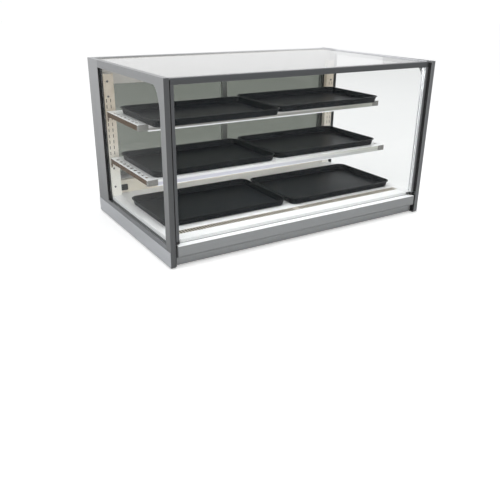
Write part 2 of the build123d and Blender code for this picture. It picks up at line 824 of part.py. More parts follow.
# ================================================================== shelves
# Each shelf is a white steel sheet, hemmed down at the back, with a row of slots along each end.
# A rail along the front edge closes the shelf with a block at each end and carries the light.
for level in shelf_rows:
    top = shelf_tops[level]
    rail_front = shelf_fronts[level]
    shelf_front = rail_front + shelf_rail_wall
    shelf_back = upright_front - shelf_back_gap
    with BuildPart() as shelf:
        block((-shelf_half, shelf_half), (shelf_front, shelf_back), (top - sheet, top))
        hem_half = flange_near - shelf_side_gap
        block((-hem_half, hem_half), (shelf_back - sheet, shelf_back), (top - shelf_hem, top))
        shelf_slot_run = shelf_back - shelf_front - 2 * shelf_rail_flange
        shelf_slot_count = int(shelf_slot_run // shelf_slot_pitch)
        with BuildSketch(Plane.XY.offset(top)):
            for side_name, side in SIDES:
                slot_x = side * (shelf_half - shelf_slot_inset)
                with Locations((slot_x, (shelf_front + shelf_back) / 2)):
                    with GridLocations(1, shelf_slot_pitch, 1, shelf_slot_count):
                        Rectangle(shelf_slot_length, shelf_slot_width)
        extrude(amount=-sheet, mode=Mode.SUBTRACT)
    save(shelf, f"{level}_shelf")

    end_inner = shelf_half - shelf_end_length
    rail_low = top - shelf_rail_drop
    notch_front = rail_front + bracket_tip_setback - pane_end_gap
    with BuildPart() as shelf_rail:
        rail_x = (-shelf_half, shelf_half)
        block(rail_x, (rail_front, shelf_front), (rail_low, top))
        for side_name, side in SIDES:
            end_x = span(side, end_inner, shelf_half)
            block(end_x, (shelf_front, notch_front), (rail_low, top - sheet))
        rail_corners = shelf_rail.edges().filter_by(Axis.Z).group_by(Axis.Y)[0]
        fillet(rail_corners, shelf_end_radius)
        block(
            (-end_inner, end_inner),
            (shelf_front, shelf_front + shelf_rail_flange),
            (top - sheet - shelf_rail_wall, top - sheet),
        )
    save(shelf_rail, f"{level}_shelf_rail")

    with BuildPart() as shelf_light:
        light_half = end_inner - glazing_gap
        light_top = top - sheet - shelf_rail_wall
        with BuildSketch(Plane.YZ.offset(-light_half)) as light_profile:
            with Locations((shelf_front + shelf_light_width / 2, light_top - shelf_light_height / 2)):
                Rectangle(shelf_light_width, shelf_light_height)
            low_corners = light_profile.vertices().group_by(Axis.Y)[0]
            fillet(low_corners.sort_by(Axis.X)[-1], shelf_light_radius)
        extrude(amount=2 * light_half)
    save(shelf_light, f"{level}_shelf_light")

# ================================================================== trays
# Pressed trays with flared sides and a flat rim, two side by side on each level. The hollow is the
# outer form brought in by the wall's thickness, measured square to the flared side.
flare_angle = atan(tray_flare / tray_height)
base_inset = tray_rim + tray_flare
hollow_inset = base_inset + tray_wall * (1 / cos(flare_angle) - tan(flare_angle))
tray_levels = {"deck": deck_top, **shelf_tops}


def tray_outline(inset):
    """The length, depth and corner radius of a tray's outline, brought in all round by an inset."""
    return (tray_length - 2 * inset, tray_depth - 2 * inset, tray_corner_radius - inset)


for level, surface in tray_levels.items():
    tray_low = surface + slide_gap
    tray_top = tray_low + tray_height
    for side_name, side in SIDES:
        tray_rear = upright_front - tray_back_gaps[level][side_name]
        tray_place = (side * (tray_length + tray_gap) / 2, tray_rear - tray_depth / 2)
        with BuildPart() as tray:
            with BuildSketch(Plane.XY.offset(tray_low)):
                with Locations(tray_place):
                    RectangleRounded(*tray_outline(base_inset))
            extrude(amount=tray_height, taper=-degrees(flare_angle))
            with BuildSketch(Plane.XY.offset(tray_top - tray_rim_thickness)):
                with Locations(tray_place):
                    RectangleRounded(*tray_outline(0))
            extrude(amount=tray_rim_thickness)
            with BuildSketch(Plane.XY.offset(tray_low + tray_wall)):
                with Locations(tray_place):
                    RectangleRounded(*tray_outline(hollow_inset))
            extrude(amount=tray_height, taper=-degrees(flare_angle), mode=Mode.SUBTRACT)
        save(tray, f"{level}_{side_name}_tray")

# ================================================================== electrical fittings
# A black twin outlet on the front of the sill feeds the shelf lights.
with BuildPart() as shelf_socket:
    with BuildSketch(Plane.XZ.offset(-sill_front)):
        with Locations((socket_inset - frame_inner, socket_level)):
            Rectangle(socket_width, socket_height)
    extrude(amount=socket_plate)
    with BuildSketch(Plane.XZ.offset(socket_plate - sill_front)):
        with Locations((socket_inset - frame_inner, socket_level)):
            with GridLocations(socket_spacing, 1, 2, 1):
                RegularPolygon(socket_radius, socket_sides)
    extrude(amount=socket_boss)
    with BuildSketch(Plane.XZ.offset(socket_plate + socket_boss - sill_front)):
        with Locations((socket_inset - frame_inner, socket_level)):
            with GridLocations(socket_spacing, 1, 2, 1):
                with GridLocations(socket_pin_spacing, 1, 2, 1):
                    Rectangle(socket_pin_width, socket_pin_height)
    extrude(amount=-socket_pin_depth, mode=Mode.SUBTRACT)
save(shelf_socket, "shelf_socket")

# The supply enters through a gland in the back of the sill.
with BuildPart() as cord_gland:
    gland_axis = Plane.XZ.offset(-sill_back).location * Pos(gland_x, fitting_level)
    with BuildSketch(Plane.XZ.offset(-sill_back)):
        with Locations((gland_x, fitting_level)):
            RegularPolygon(gland_flange_radius, 6)
    extrude(amount=-gland_flange)
    with BuildSketch(Plane.XZ.offset(-sill_back - gland_flange)):
        with Locations((gland_x, fitting_level)):
            RegularPolygon(gland_nose_radius, 6)
    extrude(amount=-gland_nose)
    inward = (Align.CENTER, Align.CENTER, Align.MIN)
    with Locations(gland_axis):
        Cylinder(gland_spigot_radius, gland_spigot, align=inward)
        bore_reach = gland_flange + gland_nose + gland_spigot
        Cylinder(gland_bore, 2 * bore_reach, mode=Mode.SUBTRACT)
save(cord_gland, "cord_gland")

# The light switch is a moulded housing with a rocker on two pins.
cavity_width = switch_width - 2 * switch_wall
cavity_height = switch_height - 2 * switch_wall
with BuildPart() as switch_housing:
    with Locations((switch_x, sill_back, fitting_level)):
        Box(
            switch_width + 2 * switch_rim,
            switch_plate,
            switch_height + 2 * switch_rim,
            align=(Align.CENTER, Align.MIN, Align.CENTER),
        )
        Box(
            switch_width,
            switch_body_depth,
            switch_height,
            align=(Align.CENTER, Align.MAX, Align.CENTER),
        )
        Box(
            cavity_width,
            2 * (switch_body_depth - switch_wall),
            cavity_height,
            mode=Mode.SUBTRACT,
        )
    with Locations((switch_x, sill_back, fitting_level)):
        Cylinder(
            rocker_pin_radius + rocker_pin_clearance,
            cavity_width + 2 * rocker_pin_reach + rocker_gap,
            rotation=(0, 90, 0),
            mode=Mode.SUBTRACT,
        )
save(switch_housing, "switch_housing")

rocker_half = cavity_height / 2 - rocker_gap
with BuildPart() as switch_rocker:
    with BuildSketch(Plane.YZ.offset(switch_x - cavity_width / 2 + rocker_gap)):
        with BuildLine():
            Polyline(
                (sill_back - rocker_depth / 2, fitting_level - rocker_half),
                (sill_back + rocker_depth / 2, fitting_level - rocker_half),
                (sill_back + rocker_depth / 2 - rocker_dish, fitting_level),
                (sill_back + rocker_depth / 2, fitting_level + rocker_half),
                (sill_back - rocker_depth / 2, fitting_level + rocker_half),
                close=True,
            )
        make_face()
    extrude(amount=cavity_width - 2 * rocker_gap)
    with Locations((switch_x, sill_back, fitting_level)):
        Cylinder(rocker_pin_radius, cavity_width + 2 * rocker_pin_reach, rotation=(0, 90, 0))
save(switch_rocker, "switch_rocker")
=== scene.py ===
import bpy
from mathutils import Matrix, Vector


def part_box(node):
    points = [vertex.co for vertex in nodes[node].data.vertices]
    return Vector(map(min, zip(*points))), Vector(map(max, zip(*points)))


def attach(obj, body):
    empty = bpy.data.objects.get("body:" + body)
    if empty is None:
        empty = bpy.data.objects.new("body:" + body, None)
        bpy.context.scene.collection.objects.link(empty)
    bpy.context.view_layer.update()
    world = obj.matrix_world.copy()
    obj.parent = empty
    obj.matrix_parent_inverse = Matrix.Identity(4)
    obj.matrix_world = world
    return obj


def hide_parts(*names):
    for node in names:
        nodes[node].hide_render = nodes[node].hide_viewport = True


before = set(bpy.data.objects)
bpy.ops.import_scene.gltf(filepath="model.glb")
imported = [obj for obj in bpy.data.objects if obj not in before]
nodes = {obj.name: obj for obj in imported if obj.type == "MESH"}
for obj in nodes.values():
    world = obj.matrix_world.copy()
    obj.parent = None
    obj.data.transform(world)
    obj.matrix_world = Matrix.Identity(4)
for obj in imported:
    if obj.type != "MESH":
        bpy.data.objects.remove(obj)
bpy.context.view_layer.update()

# ------------------------------------------------------------------ camera
# The customer's view: standing at the left front corner of the case and looking down into it.
# A short telephoto lens, level with a person's chest above the counter.
eye = Vector((-1.39414, -2.13006, 0.89649))
ahead = Vector((0.49113, 0.77715, -0.39347)).normalized()
across = Vector((0.84782, -0.53016, 0.01112)).normalized()
upward = across.cross(ahead).normalized()
bpy.ops.object.camera_add(location=eye)
camera = bpy.context.object
camera.name = "counter_view"
turned = Matrix((across, upward, -ahead)).transposed().to_4x4()
camera.matrix_world = Matrix.Translation(eye) @ turned
camera.data.sensor_width = 36.0
camera.data.lens = 42.97
camera.data.clip_end = 50.0
bpy.context.scene.camera = camera
bpy.context.scene.view_settings.view_transform = "Standard"

# ------------------------------------------------------------------ studio
# A seamless white paper floor stands in for the counter top, under an evenly white room.
# Large soft lamps stand to the left, to the right, behind and overhead.
floor_glow, glow_through_glass = 0.37, 0.55
room_light, backdrop_light = 0.8, 1.02
lamps_aim = Vector((0, 0, 0.3))


def link(tree, source, target):
    """Join an output to an input."""
    tree.links.new(source, target)


def maths(tree, operation, first, second, clamp=False):
    """A maths node; each side is a socket or a number."""
    node = tree.nodes.new("ShaderNodeMath")
    node.operation = operation
    node.use_clamp = clamp
    for slot, value in enumerate((first, second)):
        if isinstance(value, (int, float)):
            node.inputs[slot].default_value = value
        else:
            link(tree, value, node.inputs[slot])
    return node.outputs[0]


def show_mixed(tree, mask, first, second, end="Material Output"):
    """Show the first shader where the mask is 0, and the second one where it is 1."""
    mix = tree.nodes.new("ShaderNodeMixShader")
    link(tree, mask, mix.inputs["Fac"])
    link(tree, first, mix.inputs[1])
    link(tree, second, mix.inputs[2])
    link(tree, mix.outputs["Shader"], tree.nodes[end].inputs["Surface"])


bpy.ops.object.select_all(action="DESELECT")
bpy.ops.mesh.primitive_plane_add(size=40.0, location=(0, 0, 0))
floor = bpy.context.object
floor.name = "studio_floor"
floor_paint = bpy.data.materials.new("floor_paper")
floor_paint.use_nodes = True
tree = floor_paint.node_tree
shader = tree.nodes["Principled BSDF"]
shader.inputs["Base Color"].default_value = (0.8, 0.8, 0.795, 1)
shader.inputs["Roughness"].default_value = 0.9
shader.inputs["Specular IOR Level"].default_value = 0.1
floor.data.materials.append(floor_paint)

# The floor and the wall are white to the eye. The light they throw back on the case is softer, so
# the panes don't veil what stands behind them.
glow = tree.nodes.new("ShaderNodeEmission")
glow.inputs["Color"].default_value = (1.0, 1.0, 0.995, 1)
glow.inputs["Strength"].default_value = floor_glow
both = tree.nodes.new("ShaderNodeAddShader")
link(tree, shader.outputs["BSDF"], both.inputs[0])
link(tree, glow.outputs["Emission"], both.inputs[1])
ray = tree.nodes.new("ShaderNodeLightPath")
through = maths(tree, "MULTIPLY", ray.outputs["Is Transmission Ray"], glow_through_glass)
either = maths(tree, "MAXIMUM", ray.outputs["Is Camera Ray"], through)
show_mixed(tree, either, shader.outputs["BSDF"], both.outputs["Shader"])

world = bpy.data.worlds.new("studio_air")
bpy.context.scene.world = world
world.use_nodes = True
tree = world.node_tree
room = tree.nodes["Background"]
room.inputs["Color"].default_value = (0.985, 0.99, 1.0, 1)
room.inputs["Strength"].default_value = room_light
backdrop = tree.nodes.new("ShaderNodeBackground")
backdrop.inputs["Color"].default_value = (1.0, 1.0, 1.0, 1)
backdrop.inputs["Strength"].default_value = backdrop_light
ray = tree.nodes.new("ShaderNodeLightPath")
show_mixed(
    tree, ray.outputs["Is Camera Ray"], room.outputs["Background"], backdrop.outputs["Background"],
    end="World Output",
)

for name, place, size, power in (
    ("left_softbox", (-3.4, -0.6, 2.2), 2.2, 24.0),
    ("right_softbox", (3.2, -1.8, 2.2), 2.0, 6.0),
    ("back_softbox", (2.0, 3.4, 2.3), 3.2, 6.0),
    ("ceiling_softbox", (0.0, -0.4, 3.4), 3.0, 20.0),
):
    bpy.ops.object.light_add(type="AREA", location=place)
    lamp = bpy.context.object
    lamp.name = name
    lamp.data.size = size
    lamp.data.energy = power
    lamp.rotation_euler = (lamps_aim - Vector(place)).to_track_quat("-Z", "Y").to_euler()

# ------------------------------------------------------------------ end frames
# Stiles and rails sawn from extruded aluminium, satin anodised, and screwed together from inside.
# The drawn surface keeps faint lines along each length, and the corners are rubbed a little bright.


def new_group(name, inputs, outputs):
    """A shader node group with named sockets, empty inside."""
    group = bpy.data.node_groups.new(name, "ShaderNodeTree")
    for label, kind, value in inputs:
        socket = group.interface.new_socket(label, in_out="INPUT", socket_type=kind)
        socket.default_value = value
    for label, kind in outputs:
        group.interface.new_socket(label, in_out="OUTPUT", socket_type=kind)
    return group, group.nodes.new("NodeGroupInput"), group.nodes.new("NodeGroupOutput")


# Fine lines drawn along one direction: Stretch is large across them and small along them.
grain_group, taken, given = new_group(
    "drawn_lines",
    [("Stretch", "NodeSocketVector", (900.0, 900.0, 6.0))],
    [("Lines", "NodeSocketFloat")],
)
where = grain_group.nodes.new("ShaderNodeTexCoord")
stretched = grain_group.nodes.new("ShaderNodeVectorMath")
stretched.operation = "MULTIPLY"
lines = grain_group.nodes.new("ShaderNodeTexNoise")
lines.inputs["Scale"].default_value = 1.0
lines.inputs["Detail"].default_value = 3.0
link(grain_group, where.outputs["Object"], stretched.inputs[0])
link(grain_group, taken.outputs["Stretch"], stretched.inputs[1])
link(grain_group, stretched.outputs[0], lines.inputs["Vector"])
link(grain_group, lines.outputs["Fac"], given.inputs["Lines"])

# Where an edge is rubbed: the rounded normal leaves the flat one only close to an edge.
rub_group, taken, given = new_group(
    "rubbed_edges",
    [("Width", "NodeSocketFloat", 0.0012)],
    [("Rub", "NodeSocketFloat")],
)
eased = rub_group.nodes.new("ShaderNodeBevel")
eased.samples = 4
flat = rub_group.nodes.new("ShaderNodeNewGeometry")
agree = rub_group.nodes.new("ShaderNodeVectorMath")
agree.operation = "DOT_PRODUCT"
link(rub_group, taken.outputs["Width"], eased.inputs["Radius"])
link(rub_group, eased.outputs["Normal"], agree.inputs[0])
link(rub_group, flat.outputs["Normal"], agree.inputs[1])
near_edge = maths(rub_group, "SUBTRACT", 1.0, agree.outputs["Value"])
rub_reach = 5.0
link(rub_group, maths(rub_group, "MULTIPLY", near_edge, rub_reach, clamp=True), given.inputs["Rub"])

# Cloudy patches where hands and cloths have passed: Size is how many patches to a metre.
wipe_group, taken, given = new_group(
    "wiped_patches",
    [("Size", "NodeSocketFloat", 9.0)],
    [("Patches", "NodeSocketFloat")],
)
where = wipe_group.nodes.new("ShaderNodeTexCoord")
cloud = wipe_group.nodes.new("ShaderNodeTexNoise")
cloud.inputs["Detail"].default_value = 5.0
cloud.inputs["Distortion"].default_value = 0.6
link(wipe_group, where.outputs["Object"], cloud.inputs["Vector"])
link(wipe_group, taken.outputs["Size"], cloud.inputs["Scale"])
link(wipe_group, cloud.outputs["Fac"], given.inputs["Patches"])

# Faces that look one way: Toward is the direction, and the mask fades in where they turn to it.
facing_group, taken, given = new_group(
    "facing_side",
    [("Toward", "NodeSocketVector", (0.0, -1.0, 0.0))],
    [("Facing", "NodeSocketFloat")],
)
flat = facing_group.nodes.new("ShaderNodeNewGeometry")
agree = facing_group.nodes.new("ShaderNodeVectorMath")
agree.operation = "DOT_PRODUCT"
link(facing_group, flat.outputs["Normal"], agree.inputs[0])
link(facing_group, taken.outputs["Toward"], agree.inputs[1])
turn_start, turn_steepness = 0.35, 3.0
past_start = maths(facing_group, "SUBTRACT", agree.outputs["Value"], turn_start)
facing = maths(facing_group, "MULTIPLY", past_start, turn_steepness, clamp=True)
link(facing_group, facing, given.inputs["Facing"])

# A band along one axis: 0 below Low, 1 above High, measured in metres on Along.
band_group, taken, given = new_group(
    "band_along",
    [
        ("Along", "NodeSocketVector", (0.0, 0.0, 1.0)),
        ("Low", "NodeSocketFloat", 0.0),
        ("High", "NodeSocketFloat", 1.0),
    ],
    [("Band", "NodeSocketFloat")],
)
where = band_group.nodes.new("ShaderNodeTexCoord")
reach = band_group.nodes.new("ShaderNodeVectorMath")
reach.operation = "DOT_PRODUCT"
spread = band_group.nodes.new("ShaderNodeMapRange")
link(band_group, where.outputs["Object"], reach.inputs[0])
link(band_group, taken.outputs["Along"], reach.inputs[1])
link(band_group, reach.outputs["Value"], spread.inputs["Value"])
link(band_group, taken.outputs["Low"], spread.inputs["From Min"])
link(band_group, taken.outputs["High"], spread.inputs["From Max"])
link(band_group, spread.outputs["Result"], given.inputs["Band"])


def place_group(tree, group, **values):
    """Put a shared effect in a material with its own values."""
    node = tree.nodes.new("ShaderNodeGroup")
    node.node_tree = group
    for label, value in values.items():
        node.inputs[label].default_value = value
    return node.outputs[0]


def blend_tones(tree, mask, first, second):
    """A colour that runs between two others by a mask. Each is a colour or a socket."""
    mix = tree.nodes.new("ShaderNodeMix")
    mix.data_type = "RGBA"
    link(tree, mask, mix.inputs["Factor"])
    for label, tone in (("A", first), ("B", second)):
        if isinstance(tone, tuple):
            mix.inputs[label].default_value = (*tone, 1)
        else:
            link(tree, tone, mix.inputs[label])
    return mix.outputs["Result"]


def between(tree, mask, low, high):
    """A number that runs between two limits by a mask."""
    spread = tree.nodes.new("ShaderNodeMapRange")
    link(tree, mask, spread.inputs["Value"])
    spread.inputs["To Min"].default_value = low
    spread.inputs["To Max"].default_value = high
    return spread.outputs["Result"]


def raised(tree, height, strength, distance=0.0002):
    """A bump from a height mask."""
    bump = tree.nodes.new("ShaderNodeBump")
    bump.inputs["Strength"].default_value = strength
    bump.inputs["Distance"].default_value = distance
    link(tree, height, bump.inputs["Height"])
    return bump.outputs["Normal"]


def shade(tone, factor):
    """A tone made darker or lighter."""
    return tuple(min(1.0, value * factor) for value in tone)


def new_finish(name):
    """An empty material, its node tree and its main shader."""
    material = bpy.data.materials.new(name)
    material.use_nodes = True
    return material, material.node_tree, material.node_tree.nodes["Principled BSDF"]


def streaked(tree, lines, tone, dark=0.88, light=1.1):
    """A tone whose drawn lines run a little darker and lighter than it."""
    return blend_tones(tree, lines, shade(tone, dark), shade(tone, light))


def anodised(name, tone, stretch, gloss=0.4, shaded_front_tone=None, shaded_foot_tone=None):
    """Satin anodised aluminium with its drawn lines running one way. The faces toward the customer
    can be given a darker tone of their own as painted shade, and so can the foot of a long upright."""
    foot_shade_low, foot_shade_high = 0.05, 0.6
    rub_share, rub_light, metal = 0.45, 1.55, 0.85
    wiped_shinier, wiped_duller, line_depth = 0.06, 0.1, 0.1
    material, tree, shader = new_finish(name)
    lines = place_group(tree, grain_group, Stretch=stretch)
    patches = place_group(tree, wipe_group, Size=7.0)
    rub = place_group(tree, rub_group, Width=0.0012)
    body = streaked(tree, lines, tone)
    # Painted shade: the foot of a long upright fades to a darker tone.
    if shaded_foot_tone:
        height = place_group(tree, band_group, Low=foot_shade_low, High=foot_shade_high)
        body = blend_tones(tree, height, streaked(tree, lines, shaded_foot_tone), body)
    # Painted shade: faces turned toward the customer get a darker tone.
    if shaded_front_tone:
        front = streaked(tree, lines, shaded_front_tone, dark=0.85, light=1.12)
        body = blend_tones(tree, place_group(tree, facing_group), body, front)
    worn = blend_tones(tree, maths(tree, "MULTIPLY", rub, rub_share), body, shade(tone, rub_light))
    link(tree, worn, shader.inputs["Base Color"])
    shader.inputs["Metallic"].default_value = metal
    rough = between(tree, patches, gloss - wiped_shinier, gloss + wiped_duller)
    link(tree, rough, shader.inputs["Roughness"])
    link(tree, raised(tree, lines, line_depth), shader.inputs["Normal"])
    return material


def faded(material, mask, tone, metal):
    """Give the masked part of a finish another tone and another share of metal."""
    tree = material.node_tree
    shader = tree.nodes["Principled BSDF"]
    plain = shader.inputs["Base Color"].links[0].from_socket
    link(tree, blend_tones(tree, mask, plain, tone), shader.inputs["Base Color"])
    held = shader.inputs["Metallic"].default_value
    link(tree, between(tree, mask, held, metal), shader.inputs["Metallic"])


def dress(material, *names):
    """Give CAD nodes their material."""
    for name in names:
        for held in nodes[name].material_slots:
            held.material = material


SIDES = (("left", -1), ("right", 1))
drawn_up, drawn_back, drawn_across = (700.0, 700.0, 4.0), (700.0, 4.0, 700.0), (4.0, 700.0, 700.0)
frame_tone = (0.5, 0.506, 0.512)
# Painted shade: the foot of each rear stile is painted darker than its upper part.
frame_shaded_foot_tone = (0.25, 0.255, 0.26)
# Painted shade: the end frames' faces toward the customer are painted darker.
frame_shaded_front_tone = (0.17, 0.174, 0.178)
# Painted shade: the front stiles' feet are painted darker too.
front_stile_shaded_foot_tone = (0.2, 0.204, 0.208)
# Painted shade: the left front stile's face is painted darker than the right one's, lit and shaded
# copies of one finish.
front_stile_shade_share, front_stile_shade_change = 0.94, 0.2
rail_tone = (0.4, 0.406, 0.412)
# Painted shade: the bottom rails are painted darker than the top rails.
bottom_rail_shaded_tone = (0.24, 0.246, 0.255)
# Painted sheen: a pale, less metallic tone laid on parts of the right and rear top rails.
painted_sheen_tone, painted_sheen_metal = (0.86, 0.87, 0.88), 0.1
stile_finish = anodised(
    "anodised_stile", frame_tone, drawn_up, shaded_front_tone=frame_shaded_front_tone, shaded_foot_tone=frame_shaded_foot_tone
)
top_rail_finish = anodised("anodised_top_rail", rail_tone, drawn_back)
bottom_rail_finish = anodised("anodised_bottom_rail", bottom_rail_shaded_tone, drawn_back)
for side, way in SIDES:
    dress(stile_finish, f"{side}_rear_stile")
    front_shade_share = front_stile_shade_share + front_stile_shade_change * way
    front_stile_finish = anodised(
        f"anodised_{side}_front_stile", rail_tone, drawn_up,
        shaded_front_tone=shade(frame_shaded_front_tone, front_shade_share), shaded_foot_tone=front_stile_shaded_foot_tone,
    )
    dress(front_stile_finish, f"{side}_front_stile")
    dress(top_rail_finish, f"{side}_top_rail")
    dress(bottom_rail_finish, f"{side}_bottom_rail")

# The top of the right rail is painted paler towards the back, a painted sheen of reflected light.
right_rail_finish = anodised("anodised_right_top_rail", rail_tone, drawn_back)
tree = right_rail_finish.node_tree
rub_and_sheen = place_group(tree, band_group, Along=(0.0, 1.0, 0.0), Low=-0.4, High=0.1)
outer = place_group(tree, facing_group, Toward=(1.0, 0.0, 0.0))
rub_and_sheen = maths(tree, "MULTIPLY", rub_and_sheen, maths(tree, "SUBTRACT", 1.0, outer))
faded(right_rail_finish, rub_and_sheen, painted_sheen_tone, painted_sheen_metal)
dress(right_rail_finish, "right_top_rail")

# ------------------------------------------------------------------ skirts
# Lighter anodised strips, drawn to a shallow section and pressed over the foot of each end frame.
# They hide its fixing screws.
skirt_tone = (0.55, 0.562, 0.585)
dress(anodised("anodised_skirt", skirt_tone, drawn_back, gloss=0.36), "left_skirt", "right_skirt")

# ------------------------------------------------------------------ glass
# Toughened float glass with polished edges, bedded dry in the frame grooves.
# The two faces are clear, and the cut edges look green.


def pane_finish(name, tint, edge_axis, bend=1.45):
    """Clear glass that lets light through, with green cut edges and faint wiping marks."""
    edge_tone, wiping = (0.45, 0.62, 0.55), 0.012
    material, tree, shader = new_finish(name)
    facing = place_group(tree, facing_group, Toward=edge_axis)
    backing = place_group(tree, facing_group, Toward=tuple(-value for value in edge_axis))
    face = maths(tree, "MAXIMUM", facing, backing)
    link(tree, blend_tones(tree, face, edge_tone, tint), shader.inputs["Base Color"])
    shader.inputs["Metallic"].default_value = 0.0
    shader.inputs["Transmission Weight"].default_value = 1.0
    shader.inputs["IOR"].default_value = bend
    patches = place_group(tree, wipe_group, Size=4.0)
    link(tree, between(tree, patches, 0.0, wiping), shader.inputs["Roughness"])
    clear = tree.nodes.new("ShaderNodeBsdfTransparent")
    clear.inputs["Color"].default_value = (*tint, 1)
    path = tree.nodes.new("ShaderNodeLightPath")
    passing = maths(tree, "MAXIMUM", path.outputs["Is Shadow Ray"], path.outputs["Is Diffuse Ray"])
    show_mixed(tree, passing, shader.outputs["BSDF"], clear.outputs["BSDF"])
    return material


clear_tint = (0.985, 0.992, 0.99)
dress(pane_finish("left_end_pane", clear_tint, (1, 0, 0), bend=1.07), "left_end_glass")
dress(pane_finish("right_end_pane", clear_tint, (1, 0, 0), bend=1.2), "right_end_glass")
dress(pane_finish("front_pane", clear_tint, (0, 1, 0), bend=1.15), "front_glass")
dress(pane_finish("top_pane", clear_tint, (0, 0, 1)), "top_glass")

# ------------------------------------------------------------------ glazing strips and feet
# Black extruded rubber pushed into the groove beside each end pane, and moulded rubber pads that
# carry the case.


def rubber(name, tone):
    """Matt rubber with a faint powdery bloom, black unless its tone is raised."""
    rough_low, rough_high, pore_depth, shine = 0.6, 0.8, 0.2, 0.35
    material, tree, shader = new_finish(name)
    patches = place_group(tree, wipe_group, Size=60.0)
    fine = place_group(tree, wipe_group, Size=900.0)
    dusty, blue_dusty = tone * 2, tone * 2.1
    bloom = blend_tones(tree, patches, (tone, tone, tone), (dusty, dusty, blue_dusty))
    link(tree, bloom, shader.inputs["Base Color"])
    link(tree, between(tree, patches, rough_low, rough_high), shader.inputs["Roughness"])
    link(tree, raised(tree, fine, pore_depth), shader.inputs["Normal"])
    shader.inputs["Specular IOR Level"].default_value = shine
    return material


strip_rubber = rubber("glazing_rubber", tone=0.012)
dress(strip_rubber, "left_glazing_strip", "right_glazing_strip", "rubber_feet")

# ------------------------------------------------------------------ post gaskets
# A grooved rubber extrusion is pushed into the gap between each front stile and the tilting glass
# unit. It is glued to the stile and keeps flour out of the gap.
post_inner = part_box("right_front_stile")[0][0]
gasket_front, gasket_back = -0.3685, -0.3475
gasket_low, gasket_high = 0.100, 0.648
gasket_thickness, gasket_lip, gasket_groove, gasket_round = 0.0036, 0.0009, 0.002, 0.0003
touch = 0.0001  # how close to a face still counts as on it


def halfway(low, high):
    """The middle of a box."""
    return [(a + b) / 2 for a, b in zip(low, high)]


def start_block(name, low, high):
    """A block between two corners, alone and selected, ready to be shaped."""
    bpy.ops.object.select_all(action="DESELECT")
    bpy.ops.mesh.primitive_cube_add(size=1.0, location=halfway(low, high))
    piece = bpy.context.object
    piece.name = name
    piece.data.name = name
    piece.scale = [b - a for a, b in zip(low, high)]
    bpy.ops.object.transform_apply(location=True, rotation=False, scale=True)
    return piece


def choose(piece, kind, test):
    """Open a piece for editing with only the faces or edges that pass a test selected."""
    if bpy.context.mode != "OBJECT":
        bpy.ops.object.mode_set(mode="OBJECT")
    bpy.ops.object.select_all(action="DESELECT")
    bpy.context.view_layer.objects.active = piece
    piece.select_set(True)
    bpy.ops.object.mode_set(mode="EDIT")
    bpy.ops.mesh.select_mode(type=kind)
    bpy.ops.mesh.select_all(action="DESELECT")
    bpy.ops.object.mode_set(mode="OBJECT")
    if kind == "FACE":
        for face in piece.data.polygons:
            face.select = test(face.center, face.normal)
    else:
        points = piece.data.vertices
        for edge in piece.data.edges:
            ends = [points[index].co for index in edge.vertices]
            edge.select = test((ends[0] + ends[1]) / 2, (ends[1] - ends[0]).normalized())
    bpy.ops.object.mode_set(mode="EDIT")


def rounded(piece, size, steps, test):
    """Round off the edges of a piece that pass a test."""
    choose(piece, "EDGE", test)
    bpy.ops.mesh.bevel(offset=size, segments=steps, affect="EDGES")


def sunk(distance):
    """Push the selected faces in by a distance along each axis, and wall the hollow round."""
    bpy.ops.mesh.extrude_region_move(TRANSFORM_OT_translate={"value": distance})


def done(piece, material, body):
    """Close a piece, shade it, give it its finish and say which body it belongs to."""
    if bpy.context.mode != "OBJECT":
        bpy.ops.object.mode_set(mode="OBJECT")
    bpy.ops.object.select_all(action="DESELECT")
    bpy.context.view_layer.objects.active = piece
    piece.select_set(True)
    bpy.ops.object.shade_smooth_by_angle(angle=0.6)
    piece.data.materials.clear()
    piece.data.materials.append(material)
    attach(piece, body)


def copied(piece, name, mirrored=False):
    """A copy with its own mesh, where it stands or mirrored to the other end of the case."""
    twin = bpy.data.objects.new(name, piece.data.copy())
    twin.data.name = name
    bpy.context.collection.objects.link(twin)
    if mirrored:
        twin.data.transform(Matrix.Scale(-1, 4, (1, 0, 0)))
        twin.data.flip_normals()
    return twin


def done_both(piece, material, body):
    """Finish a piece of the left end and its mirrored twin at the right end."""
    done(piece, material, body)
    twin_name = piece.name.replace("left_", "right_")
    done(copied(piece, twin_name, mirrored=True), material, body)


post_gasket = start_block(
    "left_post_gasket",
    (-post_inner, gasket_front, gasket_low),
    (gasket_thickness - post_inner, gasket_back, gasket_high),
)
choose(post_gasket, "FACE", lambda place, way: way.y < -0.9)
bpy.ops.mesh.inset(thickness=gasket_lip, use_even_offset=True)
sunk((0, gasket_groove, 0))
rounded(
    post_gasket, gasket_round, 2,
    lambda place, way: abs(way.z) > 0.9 and place.y < gasket_front + touch,
)
done_both(post_gasket, strip_rubber, "case")

# ------------------------------------------------------------------ post pads
# A thin rubber pad is glued to the foot of each front stile, below the pivot. It stops the end of
# the base rail from ringing against the stile.
pad_front, pad_back, pad_low, pad_high = -0.3685, -0.347, 0.008, 0.084
pad_thickness, pad_round = 0.0014, 0.0004
pad_face = pad_thickness - post_inner
post_pad = start_block(
    "left_post_pad", (-post_inner, pad_front, pad_low), (pad_face, pad_back, pad_high)
)
rounded(post_pad, pad_round, 2, lambda place, way: place.x > pad_face - touch)
done_both(post_pad, strip_rubber, "case")

# ------------------------------------------------------------------ base rail
# The bullnose section along the customer's side, brushed along its length and anodised.
# Its level top is painted near-white, a painted highlight of the lamp light that falls on it.
base_tone, base_top_highlight_tone = (0.31, 0.318, 0.322), (0.98, 0.985, 0.99)
base_finish = anodised("anodised_base", base_tone, drawn_across, gloss=0.3)
